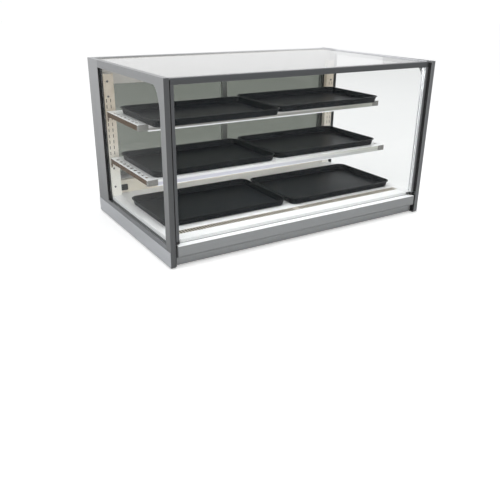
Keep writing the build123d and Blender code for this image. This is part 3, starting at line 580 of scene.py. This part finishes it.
# Painted highlight: upward faces of the base rail are painted near-white and not metallic.
lit_level_top = place_group(base_finish.node_tree, facing_group, Toward=(0.0, 0.0, 1.0))
faded(base_finish, lit_level_top, base_top_highlight_tone, 0.0)
dress(base_finish, "front_base_rail")

# ------------------------------------------------------------------ base end caps
# A moulded grey cap is pressed over each open end of the base rail. Its front corners follow the
# section's two radii.
cap_near, cap_far = 0.578, 0.5796
cap_front, cap_back, cap_low, cap_high = -0.3685, -0.3462, 0.0355, 0.0818
cap_low_radius, cap_high_radius, cap_edge_round = 0.0105, 0.0038, 0.0004


def mottled(name, size, dark, light, rough_low, rough_high, bump):
    """A plain finish whose tone, gloss and surface wander a little in patches."""
    material, tree, shader = new_finish(name)
    patches = place_group(tree, wipe_group, Size=size)
    link(tree, blend_tones(tree, patches, dark, light), shader.inputs["Base Color"])
    link(tree, between(tree, patches, rough_low, rough_high), shader.inputs["Roughness"])
    link(tree, raised(tree, patches, bump), shader.inputs["Normal"])
    return material


end_cap = start_block(
    "left_base_end_cap", (-cap_far, cap_front, cap_low), (-cap_near, cap_back, cap_high)
)
rounded(
    end_cap, cap_low_radius, 6,
    lambda place, way: abs(way.x) > 0.9
    and place.y < cap_front + touch
    and place.z < cap_low + touch,
)
rounded(
    end_cap, cap_high_radius, 4,
    lambda place, way: abs(way.x) > 0.9
    and place.y < cap_front + touch
    and place.z > cap_high - touch,
)
rounded(end_cap, cap_edge_round, 2, lambda place, way: place.x < -cap_far + touch)
cap_plastic = mottled(
    "cap_plastic", size=90.0, dark=(0.2, 0.205, 0.21), light=(0.27, 0.275, 0.28),
    rough_low=0.45, rough_high=0.6, bump=0.1,
)
done_both(end_cap, cap_plastic, "case")

# ------------------------------------------------------------------ front glass unit
# A darker anodised frame on three sides of the pane, with nylon plugs that carry the pivot pins.
# The side channels' faces behind their front face are painted white, a painted highlight of the
# lamp light inside the case.
# Painted shade: the left channel is painted darker than the right one, lit and shaded copies of one
# finish.
channel_lit_and_shaded_tones = {"left": (0.13, 0.134, 0.14), "right": (0.27, 0.275, 0.283)}
# Painted shade: the glass unit rail's faces toward the customer are painted darker.
front_rail_tone, front_rail_shaded_face_tone = (0.24, 0.246, 0.252), (0.11, 0.114, 0.118)
inner_highlight_front, inner_highlight_tone = -0.3578, (0.93, 0.94, 0.95)
rail_across = anodised(
    "anodised_front_rail", front_rail_tone, drawn_across, shaded_front_tone=front_rail_shaded_face_tone
)
dress(rail_across, "front_glass_rail")


def channel_with_inner_highlight(name, tone, inward):
    """A dark anodised channel whose faces behind its front face are painted white as a painted
    highlight.
    """
    rub_share, rub_tone = 0.4, (0.3, 0.305, 0.31)
    metal_share, metal_gloss, inner_highlight_gloss = 0.85, 0.42, 0.6
    material, tree, shader = new_finish(name)
    lines = place_group(tree, grain_group, Stretch=drawn_up)
    rub = place_group(tree, rub_group, Width=0.001)
    deep = place_group(
        tree, band_group, Along=(0.0, 1.0, 0.0), Low=inner_highlight_front, High=inner_highlight_front + 0.0004
    )
    outer = place_group(tree, facing_group, Toward=(-inward, 0.0, 0.0))
    # Painted highlight: faces behind the front face, except the outer side, turn white and lose
    # their metal.
    inner_highlight = maths(tree, "MULTIPLY", deep, maths(tree, "SUBTRACT", 1.0, outer))
    body = blend_tones(tree, inner_highlight, streaked(tree, lines, tone, dark=0.85, light=1.12), inner_highlight_tone)
    worn = blend_tones(tree, maths(tree, "MULTIPLY", rub, rub_share), body, rub_tone)
    link(tree, worn, shader.inputs["Base Color"])
    link(tree, between(tree, inner_highlight, metal_share, 0.0), shader.inputs["Metallic"])
    link(tree, between(tree, inner_highlight, metal_gloss, inner_highlight_gloss), shader.inputs["Roughness"])
    return material


for side, way in SIDES:
    channel_finish = channel_with_inner_highlight(f"{side}_channel_finish", channel_lit_and_shaded_tones[side], -way)
    dress(channel_finish, f"{side}_glass_channel")
dress(rubber("pivot_nylon", tone=0.02), "front_glass_pivots")

# ------------------------------------------------------------------ channel seals
# A soft grey bulb seal runs up the back of each side channel and rests near the end glass.
# It is an extrusion with a thin foot and a round bulb, and it travels with the tilting unit.
seal_inner, seal_outer = 0.568, 0.577
seal_front, seal_back = -0.345, -0.3365
seal_low, seal_high = 0.100, 0.6255
seal_bulb, seal_foot = 0.0042, 0.0012
seal_grey = mottled(
    "seal_grey", size=80.0, dark=(0.44, 0.44, 0.46), light=(0.52, 0.52, 0.54),
    rough_low=0.55, rough_high=0.7, bump=0.15,
)
channel_seal = start_block(
    "left_channel_seal", (-seal_outer, seal_front, seal_low), (-seal_inner, seal_back, seal_high)
)
rounded(
    channel_seal, seal_bulb, 6,
    lambda place, way: abs(way.z) > 0.9 and place.y > seal_back - touch,
)
choose(channel_seal, "FACE", lambda place, way: way.y < -0.9)
bpy.ops.mesh.inset(thickness=seal_foot, use_even_offset=True)
done_both(channel_seal, seal_grey, "front_glass_unit")

# ------------------------------------------------------------------ enamelled sheet
# Folded steel, stove enamelled: white on deck and shelves, cream on the uprights, beige behind,
# dark brown on the brackets, partly their own brown and partly painted shade and painted reflection
# of the goods.
# The enamel has a slight orange peel, and it thins a little on the folds.


def enamel(name, tone, gloss=0.25, worn_tone=0.75, coat=0.25):
    """Stove enamel with its slight orange peel and rubbed corners."""
    dusty_share, rub_share, duller, peel_depth = 0.95, 0.35, 0.12, 0.06
    material, tree, shader = new_finish(name)
    patches = place_group(tree, wipe_group, Size=5.0)
    peel = place_group(tree, wipe_group, Size=420.0)
    rub = place_group(tree, rub_group, Width=0.0008)
    body = blend_tones(tree, patches, shade(tone, dusty_share), tone)
    rub_and_sheen = maths(tree, "MULTIPLY", rub, rub_share)
    link(tree, blend_tones(tree, rub_and_sheen, body, shade(tone, worn_tone)), shader.inputs["Base Color"])
    link(tree, between(tree, patches, gloss, gloss + duller), shader.inputs["Roughness"])
    link(tree, raised(tree, peel, peel_depth), shader.inputs["Normal"])
    shader.inputs["Coat Weight"].default_value = coat
    return material


white_tone, header_tone, sill_tone = (0.95, 0.95, 0.945), (0.6, 0.575, 0.53), (0.8, 0.75, 0.64)
# Painted shade: the brackets' brown is darkened almost to black, painted shade and painted
# reflection of the goods beside them.
bracket_shaded_tone, bracket_shine = (0.09, 0.052, 0.024), 0.2
white_enamel = enamel("white_enamel", white_tone)
bracket_enamel = enamel("bracket_enamel", bracket_shaded_tone, gloss=0.6, worn_tone=1.2, coat=0.0)
shader = bracket_enamel.node_tree.nodes["Principled BSDF"]
shader.inputs["Specular IOR Level"].default_value = bracket_shine
dress(white_enamel, "base_pan", "left_deck_strip", "right_deck_strip")
dress(white_enamel, "middle_shelf", "upper_shelf")
dress(enamel("header_enamel", header_tone), "rear_header")
dress(enamel("sill_enamel", sill_tone), "rear_sill")
for level in ("middle", "upper"):
    dress(bracket_enamel, f"{level}_left_bracket", f"{level}_right_bracket")

# The uprights are cream at the foot and browner towards the top.
cream_tone, upright_top_dark, upright_top_light = (0.95, 0.93, 0.86), (0.52, 0.43, 0.32), (0.8, 0.72, 0.6)
cream_enamel = enamel("cream_enamel", cream_tone)
tree = cream_enamel.node_tree
base_colour = tree.nodes["Principled BSDF"].inputs["Base Color"]
rise = place_group(tree, band_group, Low=0.16, High=0.42)
foot = base_colour.links[0].from_socket
upright_top_patches = place_group(tree, wipe_group, Size=26.0)
upper = blend_tones(tree, upright_top_patches, upright_top_dark, upright_top_light)
link(tree, blend_tones(tree, rise, foot, upper), base_colour)
dress(cream_enamel, "left_upright", "right_upright")

# The bars between the deck slots are tinted brown in patches, so the rows of slots look darker.
slot_front, slot_back, slot_fade, slot_bar_share = -0.2905, -0.2565, 0.002, 0.85
slot_bar_dark, slot_bar_light = (0.3, 0.26, 0.2), (0.62, 0.56, 0.46)
deck_enamel = enamel("deck_enamel", white_tone)
tree = deck_enamel.node_tree
base_colour = tree.nodes["Principled BSDF"].inputs["Base Color"]
past_front = place_group(
    tree, band_group, Along=(0.0, 1.0, 0.0), Low=slot_front, High=slot_front + slot_fade
)
before_back = place_group(
    tree, band_group, Along=(0.0, -1.0, 0.0), Low=-slot_back, High=-slot_back + slot_fade
)
slot_bars = maths(tree, "MULTIPLY", past_front, before_back)
plain = base_colour.links[0].from_socket
slot_bar = blend_tones(tree, place_group(tree, wipe_group, Size=60.0), slot_bar_dark, slot_bar_light)
slot_bar_mask = maths(tree, "MULTIPLY", slot_bars, slot_bar_share)
link(tree, blend_tones(tree, slot_bar_mask, plain, slot_bar), base_colour)
dress(deck_enamel, "left_deck_pan", "right_deck_pan")

# ------------------------------------------------------------------ upright shade sheets
# A near-black brown sheet stands in the channel behind the slots of each upright as painted shade.
# It is why the slots look dark.
back_near, back_far = 0.5475, 0.5865
back_front, back_rear, back_low, back_high = 0.2535, 0.2545, 0.200, 0.520
back_corner = 0.002
# Painted shade: a near-black brown sheet put behind the slots where there is only shadow.
brown_steel = mottled(
    "brown_steel", size=70.0, dark=(0.02, 0.014, 0.009), light=(0.09, 0.065, 0.04),
    rough_low=0.6, rough_high=0.8, bump=0.1,
)
upright_shade_sheet = start_block(
    "left_upright_back", (-back_far, back_front, back_low), (-back_near, back_rear, back_high)
)
rounded(upright_shade_sheet, back_corner, 2, lambda place, way: abs(way.y) > 0.9)
done_both(upright_shade_sheet, brown_steel, "case")

# ------------------------------------------------------------------ deck joints
# A thin line of dark sealant lies in the joint between each deck pan and its filler strip. It is
# run in wet and wiped off.
joint_near, joint_far = 0.5551, 0.5559
joint_front, joint_rear, joint_low, joint_high = -0.3395, 0.2775, 0.0925, 0.0946
joint_round = 0.0002
joint_line = start_block(
    "left_deck_joint", (-joint_far, joint_front, joint_low), (-joint_near, joint_rear, joint_high)
)
rounded(
    joint_line, joint_round, 2,
    lambda place, way: abs(way.y) > 0.9 and place.z > joint_high - touch,
)
done_both(joint_line, rubber("joint_sealant", tone=0.03), "case")

# ------------------------------------------------------------------ slot shade sheets
# A dark brown-grey foam-textured strip with a raised rim lies under each row of deck slots as
# painted shade. It is why the slots look dark.
slot_sheet_low, slot_sheet_high = 0.0885, 0.0922
slot_sheet_front, slot_sheet_back = -0.2935, -0.2545
slot_sheet_near, slot_sheet_far = 0.010, 0.545
slot_sheet_rim, slot_sheet_sag, slot_sheet_round = 0.0025, 0.0012, 0.0004
# Painted shade: the sheet's dark brown stands in for the shadow under the slots.
foam_shade_dark, foam_shade_light = (0.035, 0.027, 0.018), (0.15, 0.12, 0.08)
foam_cells, foam_smooth, foam_rough, foam_depth = 420.0, 0.8, 0.95, 0.8
foam, tree, shader = new_finish("slot_shade_foam")
cells = tree.nodes.new("ShaderNodeTexVoronoi")
cells.inputs["Scale"].default_value = foam_cells
foam_place = tree.nodes.new("ShaderNodeTexCoord")
link(tree, foam_place.outputs["Object"], cells.inputs["Vector"])
hollow = cells.outputs["Distance"]
link(tree, blend_tones(tree, hollow, foam_shade_dark, foam_shade_light), shader.inputs["Base Color"])
link(tree, between(tree, hollow, foam_smooth, foam_rough), shader.inputs["Roughness"])
link(tree, raised(tree, hollow, foam_depth, 0.001), shader.inputs["Normal"])
slot_shade_sheet = start_block(
    "left_air_filter",
    (-slot_sheet_far, slot_sheet_front, slot_sheet_low),
    (-slot_sheet_near, slot_sheet_back, slot_sheet_high),
)
choose(slot_shade_sheet, "FACE", lambda place, way: way.z > 0.9)
bpy.ops.mesh.inset(thickness=slot_sheet_rim, use_even_offset=True)
sunk((0, 0, -slot_sheet_sag))
bpy.ops.mesh.subdivide(number_cuts=6)
rounded(slot_shade_sheet, slot_sheet_round, 2, lambda place, way: place.z > slot_sheet_high - touch)
done_both(slot_shade_sheet, foam, "case")

# ------------------------------------------------------------------ sheet metal screws
# Round-headed steel screws with a shallow round recess hold the sill, the header and the
# uprights. Each is turned up tight against the sheet.
head_radius, head_rise, head_round = 0.0042, 0.0018, 0.0011
recess_rim, recess_depth = 0.0012, 0.0011
screw_dark, screw_light, screw_bright = (0.1, 0.1, 0.1), (0.2, 0.2, 0.2), (0.5, 0.5, 0.5)
screw_smooth, screw_rough = 0.3, 0.5
quarter_turn = 1.5707963
screw_steel, tree, shader = new_finish("screw_steel")
screw_patches = place_group(tree, wipe_group, Size=400.0)
screw_rub = place_group(tree, rub_group, Width=0.0004)
screw_body = blend_tones(tree, screw_patches, screw_dark, screw_light)
link(tree, blend_tones(tree, screw_rub, screw_body, screw_bright), shader.inputs["Base Color"])
shader.inputs["Metallic"].default_value = 0.9
link(tree, between(tree, screw_patches, screw_smooth, screw_rough), shader.inputs["Roughness"])
bpy.ops.object.select_all(action="DESELECT")
bpy.ops.mesh.primitive_cylinder_add(
    vertices=24, radius=head_radius, depth=head_rise, location=(0, 0, head_rise / 2)
)
pattern_screw = bpy.context.object
pattern_screw.name = "pattern_screw"
bpy.ops.object.transform_apply(location=True, rotation=False, scale=True)
rounded(
    pattern_screw, head_round, 4,
    lambda place, way: place.z > head_rise - touch and abs(way.z) < 0.1,
)
choose(pattern_screw, "FACE", lambda place, way: way.z > 0.99)
bpy.ops.mesh.inset(thickness=recess_rim)
sunk((0, 0, -recess_depth))
bpy.ops.object.mode_set(mode="OBJECT")

# Heads face the customer on the uprights, and face the baker on the sill and the header.
toward_customer = Matrix.Rotation(quarter_turn, 4, "X")
toward_baker = Matrix.Rotation(-quarter_turn, 4, "X")
header_back, sill_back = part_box("rear_header")[1][1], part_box("rear_sill")[1][1]
header_start, header_pitch, header_level = -0.54, 0.27, 0.6
sill_start, sill_pitch, sill_level, sill_foot_level = -0.56, 0.224, 0.132, 0.022
upright_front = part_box("right_upright")[0][1]
upright_middle, upright_levels = 0.572, (0.135, 0.215, 0.5125, 0.572)
screw_places = []
for count in range(5):
    place = (header_start + count * header_pitch, header_back, header_level)
    screw_places.append(("header", toward_baker, place))
for count in range(6):
    sill_x = sill_start + count * sill_pitch
    screw_places.append(("sill", toward_baker, (sill_x, sill_back, sill_level)))
    screw_places.append(("sill_foot", toward_baker, (sill_x, sill_back, sill_foot_level)))
for side, way in SIDES:
    for level in upright_levels:
        place = (way * upright_middle, upright_front, level)
        screw_places.append((f"{side}_upright", toward_customer, place))
for count, (where_used, turn, place) in enumerate(screw_places):
    screw = copied(pattern_screw, f"{where_used}_screw_{count + 1:02d}")
    screw.data.transform(Matrix.Translation(place) @ turn)
    done(screw, screw_steel, "case")
bpy.data.objects.remove(pattern_screw)

# ------------------------------------------------------------------ shelf front rails and lights
# Pale plastic-coated rails close the front of each shelf, with a frosted lamp behind each one.
# The moulded end blocks are darker grey, and the coat greens a little towards the right. A third
# lamp lies in a bar behind the front edge of the top glass.
block_start, lip_blur = 0.5455, 0.001
green_from, green_to = -0.1, 0.5
block_tone = (0.2, 0.195, 0.18)
green_dark, green_light, green_share = (0.36, 0.37, 0.3), (0.62, 0.63, 0.54), 0.75


def rail_coat(name, lit_upper_tone, shaded_lower_tone, lip):
    """A pale coat, painted lighter on its upper lip and darker below as painted highlight and
    painted shade, with darker end blocks and a few long streaks.
    """
    coat_smooth, coat_rough, streak_depth, coat_share = 0.18, 0.34, 0.08, 0.4
    material, tree, shader = new_finish(name)
    streaks = place_group(tree, grain_group, Stretch=(9.0, 300.0, 420.0))
    toward_right = place_group(
        tree, band_group, Along=(1.0, 0.0, 0.0), Low=green_from, High=green_to
    )
    height = place_group(tree, band_group, Low=lip - lip_blur, High=lip + lip_blur)
    left_end, right_end = (
        place_group(
            tree, band_group, Along=(way, 0.0, 0.0), Low=block_start, High=block_start + lip_blur
        )
        for way in (-1.0, 1.0)
    )
    face = blend_tones(tree, height, shaded_lower_tone, lit_upper_tone)
    green = blend_tones(tree, streaks, green_dark, green_light)
    body = blend_tones(tree, maths(tree, "MULTIPLY", toward_right, green_share), face, green)
    ends = maths(tree, "MAXIMUM", left_end, right_end)
    link(tree, blend_tones(tree, ends, body, block_tone), shader.inputs["Base Color"])
    link(tree, between(tree, streaks, coat_smooth, coat_rough), shader.inputs["Roughness"])
    link(tree, raised(tree, streaks, streak_depth), shader.inputs["Normal"])
    shader.inputs["Coat Weight"].default_value = coat_share
    return material


# Painted highlight and painted shade: each rail's upper lip is painted lighter and the face below
# it darker, lavender on the middle rail.
for level, lit_upper_tone, shaded_lower_tone, lip_height in (
    ("middle", (0.9, 0.9, 0.91), (0.66, 0.66, 0.74), 0.010),
    ("upper", (0.78, 0.76, 0.75), (0.4, 0.39, 0.37), 0.012),
):
    rail_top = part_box(f"{level}_shelf_rail")[1][2]
    coat = rail_coat(f"{level}_rail_coat", lit_upper_tone, shaded_lower_tone, rail_top - lip_height)
    dress(coat, f"{level}_shelf_rail")


def frosted_lamp(name, strength):
    """A frosted plastic lens lit from inside. To the eye it is an even white, and it lights the
    case around it at full strength."""
    lens_smooth, lens_rough = 0.45, 0.55
    material, tree, shader = new_finish(name)
    patches = place_group(tree, wipe_group, Size=30.0)
    lens = blend_tones(tree, patches, (0.9, 0.92, 0.95), (0.97, 0.98, 1.0))
    light = blend_tones(tree, patches, (0.95, 0.97, 1.0), (1.0, 1.0, 0.98))
    link(tree, lens, shader.inputs["Base Color"])
    link(tree, light, shader.inputs["Emission Color"])
    link(tree, between(tree, patches, lens_smooth, lens_rough), shader.inputs["Roughness"])
    shader.inputs["Emission Strength"].default_value = strength
    seen = tree.nodes.new("ShaderNodeEmission")
    seen.inputs["Color"].default_value = (0.9, 0.91, 0.93, 1)
    seen.inputs["Strength"].default_value = 0.95
    ray = tree.nodes.new("ShaderNodeLightPath")
    direct = ray.outputs["Is Camera Ray"]
    for kind in ("Is Transmission Ray", "Is Glossy Ray"):
        direct = maths(tree, "MAXIMUM", direct, ray.outputs[kind])
    show_mixed(tree, direct, shader.outputs["BSDF"], seen.outputs["Emission"])
    return material


shelf_lamp_power, top_lamp_power = 13.0, 18.0
light_bar_tone = (0.3, 0.305, 0.31)
dress(frosted_lamp("shelf_lamp_glow", shelf_lamp_power), "middle_shelf_light", "upper_shelf_light")
dress(frosted_lamp("top_lamp_glow", top_lamp_power), "top_light_lens")
dress(anodised("light_bar_finish", light_bar_tone, drawn_across), "top_light_bar")

# ------------------------------------------------------------------ rear doors and tracks
# Aluminium-framed sliding doors with grey-green glass, running in mill-finish tracks. The rear
# top rail closes the frame above them, and it is painted paler towards the right as a painted
# sheen.
# Painted shade: the door frames' faces toward the customer are painted darker.
door_tone, door_shaded_front_tone = (0.42, 0.425, 0.415), (0.33, 0.34, 0.32)
door_lines = (500.0, 500.0, 8.0)
door_glass_tint = (0.2, 0.215, 0.19)
track_tone, mill_lines = (0.45, 0.45, 0.45), (4.0, 600.0, 600.0)
door_finish = anodised(
    "anodised_door", door_tone, door_lines, gloss=0.3, shaded_front_tone=door_shaded_front_tone
)
track_finish = anodised("mill_track", track_tone, mill_lines, gloss=0.3)
door_pane = pane_finish("grey_green_pane", door_glass_tint, (0, 1, 0), bend=1.3)
rear_rail_finish = anodised("anodised_rear_rail", rail_tone, mill_lines, gloss=0.35)
# Painted sheen: the rear top rail's tone runs paler towards the right.
rub_and_sheen = place_group(
    rear_rail_finish.node_tree, band_group, Along=(1.0, 0.0, 0.0), Low=-0.4, High=0.5
)
faded(rear_rail_finish, rub_and_sheen, painted_sheen_tone, painted_sheen_metal)
dress(door_finish, "left_door_frame", "right_door_frame")
dress(track_finish, "bottom_door_track", "top_door_track")
dress(door_pane, "left_door_glass", "right_door_glass")
dress(rear_rail_finish, "rear_top_rail")

# ------------------------------------------------------------------ top glass seals
# A thin grey silicone bead is run along each side of the top glass and smoothed with a finger.
# It fills the step between the glass and the end frame.
bead_front, bead_back = -0.3415, 0.345
bead_low, bead_high = 0.651, 0.6536
bead_width, bead_slope, bead_end_round = 0.0045, 0.0022, 0.0008
top_bead = start_block(
    "left_top_bead",
    (-post_inner, bead_front, bead_low),
    (bead_width - post_inner, bead_back, bead_high),
)
rounded(
    top_bead, bead_slope, 4,
    lambda place, way: abs(way.y) > 0.9
    and place.z > bead_high - touch
    and place.x > -post_inner + touch,
)
rounded(
    top_bead, bead_end_round, 2,
    lambda place, way: abs(way.x) > 0.5 and place.z > bead_high - touch,
)
done_both(top_bead, rubber("bead_silicone", tone=0.5), "case")

# ------------------------------------------------------------------ trays
# Pressed black trays, standard bakery size, with a fine leather grain and a smooth rim.
# Handling leaves light scuffs along the rims, and a soft blue-grey painted sheen lies in patches on
# the sides.
tray_dark, tray_sheen, tray_worn = (0.003, 0.004, 0.005), (0.007, 0.010, 0.012), (0.02, 0.025, 0.03)
tray_worn_share, tray_smooth, tray_rough, grain_depth = 0.5, 0.28, 0.48, 0.04
tray_black, tree, shader = new_finish("grained_tray")
grain = place_group(tree, wipe_group, Size=300.0)
sheen_patches = place_group(tree, wipe_group, Size=18.0)
tray_rub = place_group(tree, rub_group, Width=0.0015)
# Painted sheen: patches of a blue-grey tone over the black.
side_sheen = blend_tones(tree, sheen_patches, tray_dark, tray_sheen)
worn_share = maths(tree, "MULTIPLY", tray_rub, tray_worn_share)
link(tree, blend_tones(tree, worn_share, side_sheen, tray_worn), shader.inputs["Base Color"])
link(tree, between(tree, sheen_patches, tray_smooth, tray_rough), shader.inputs["Roughness"])
link(tree, raised(tree, grain, grain_depth), shader.inputs["Normal"])
shader.inputs["Specular IOR Level"].default_value = 0.1
for level in ("deck", "middle", "upper"):
    dress(tray_black, f"{level}_left_tray", f"{level}_right_tray")

# ------------------------------------------------------------------ shelf light outlet
# A black twin outlet snapped into the front of the sill. It is one moulding with two round
# bosses, and each boss has two contact slots.
moulding = rubber("black_moulding", tone=0.005)
outlet_middle_x, _, outlet_middle_z = halfway(*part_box("shelf_socket"))
outlet_front, outlet_plate, outlet_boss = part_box("rear_sill")[0][1], 0.0025, 0.005
outlet_half_length, outlet_half_height = 0.023, 0.013
outlet_corner, outlet_edge_round = 0.004, 0.0008
boss_shift, boss_radius, boss_overlap = 0.011, 0.0094, 0.001
boss_wall, boss_well, boss_round = 0.0014, 0.0018, 0.0003
pin_shift, pin_half_width, pin_half_height = 0.00325, 0.001, 0.003
pin_front, pin_back, pin_wall, pin_well = 0.0012, 0.0022, 0.0003, 0.0006
outlet_plate_face = outlet_front - outlet_plate
boss_face = outlet_plate_face - outlet_boss
outlet = start_block(
    "shelf_outlet_moulding",
    (outlet_middle_x - outlet_half_length, outlet_plate_face, outlet_middle_z - outlet_half_height),
    (outlet_middle_x + outlet_half_length, outlet_front, outlet_middle_z + outlet_half_height),
)
rounded(outlet, outlet_corner, 5, lambda place, way: abs(way.y) > 0.9)
rounded(outlet, outlet_edge_round, 3, lambda place, way: place.y < outlet_plate_face + touch)
bpy.ops.object.mode_set(mode="OBJECT")
outlet_parts = [outlet]
for shift in (-boss_shift, boss_shift):
    boss_x = outlet_middle_x + shift
    boss_y = outlet_plate_face - (outlet_boss - boss_overlap) / 2
    bpy.ops.object.select_all(action="DESELECT")
    bpy.ops.mesh.primitive_cylinder_add(
        vertices=40, radius=boss_radius, depth=outlet_boss + boss_overlap,
        location=(boss_x, boss_y, outlet_middle_z), rotation=(quarter_turn, 0, 0),
    )
    boss = bpy.context.object
    bpy.ops.object.transform_apply(location=True, rotation=True, scale=True)
    choose(boss, "FACE", lambda place, way: way.y < -0.99)
    bpy.ops.mesh.inset(thickness=boss_wall)
    sunk((0, boss_well, 0))
    rounded(
        boss, boss_round, 2,
        lambda place, way: place.y < boss_face + touch and abs(way.y) < 0.1,
    )
    bpy.ops.object.mode_set(mode="OBJECT")
    outlet_parts.append(boss)
    for pin in (-pin_shift, pin_shift):
        slot_x = boss_x + pin
        slot = start_block(
            "contact_slot",
            (slot_x - pin_half_width, boss_face + pin_front, outlet_middle_z - pin_half_height),
            (slot_x + pin_half_width, boss_face + pin_back, outlet_middle_z + pin_half_height),
        )
        choose(slot, "FACE", lambda place, way: way.y < -0.9)
        bpy.ops.mesh.inset(thickness=pin_wall)
        sunk((0, pin_well, 0))
        bpy.ops.object.mode_set(mode="OBJECT")
        outlet_parts.append(slot)
bpy.ops.object.select_all(action="DESELECT")
for piece in outlet_parts:
    piece.select_set(True)
bpy.context.view_layer.objects.active = outlet
bpy.ops.object.join()
done(outlet, moulding, "case")
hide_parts("shelf_socket")

# ------------------------------------------------------------------ gland and light switch
# Black mouldings in the back of the sill. The rocker is marked with the usual bar and ring,
# moulded in white.
rocker_middle_x, _, rocker_middle_z = halfway(*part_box("switch_rocker"))
mark_face, mark_rise, face_lean = 0.34794, 0.0034, 0.191
bar_half, bar_round = Vector((0.0003, 0.0002, 0.0013)), 0.0001
ring_radius, ring_wire = 0.0013, 0.00028
dress(moulding, "cord_gland", "switch_housing", "switch_rocker")
mark_white = mottled(
    "mark_white", size=300.0, dark=(0.7, 0.7, 0.68), light=(0.85, 0.85, 0.84),
    rough_low=0.4, rough_high=0.55, bump=0.1,
)


def set_on_rocker(mark, rise, lean):
    """Lay a mark on one half of the rocker's face and finish it."""
    lie = Matrix.Rotation(lean, 4, "X")
    mark.data.transform(
        Matrix.Translation((rocker_middle_x, mark_face, rocker_middle_z + rise)) @ lie
    )
    done(mark, mark_white, "light_rocker")


on_mark = start_block("rocker_on_mark", -bar_half, bar_half)
rounded(on_mark, bar_round, 2, lambda place, way: place.y > touch)
bpy.ops.object.mode_set(mode="OBJECT")
set_on_rocker(on_mark, mark_rise, -face_lean)
bpy.ops.object.select_all(action="DESELECT")
bpy.ops.mesh.primitive_torus_add(
    major_radius=ring_radius, minor_radius=ring_wire, major_segments=32, minor_segments=8,
    rotation=(quarter_turn, 0, 0),
)
off_mark = bpy.context.object
off_mark.name = "rocker_off_mark"
off_mark.data.name = "rocker_off_mark"
bpy.ops.object.transform_apply(location=True, rotation=True, scale=True)
set_on_rocker(off_mark, -mark_rise, face_lean)
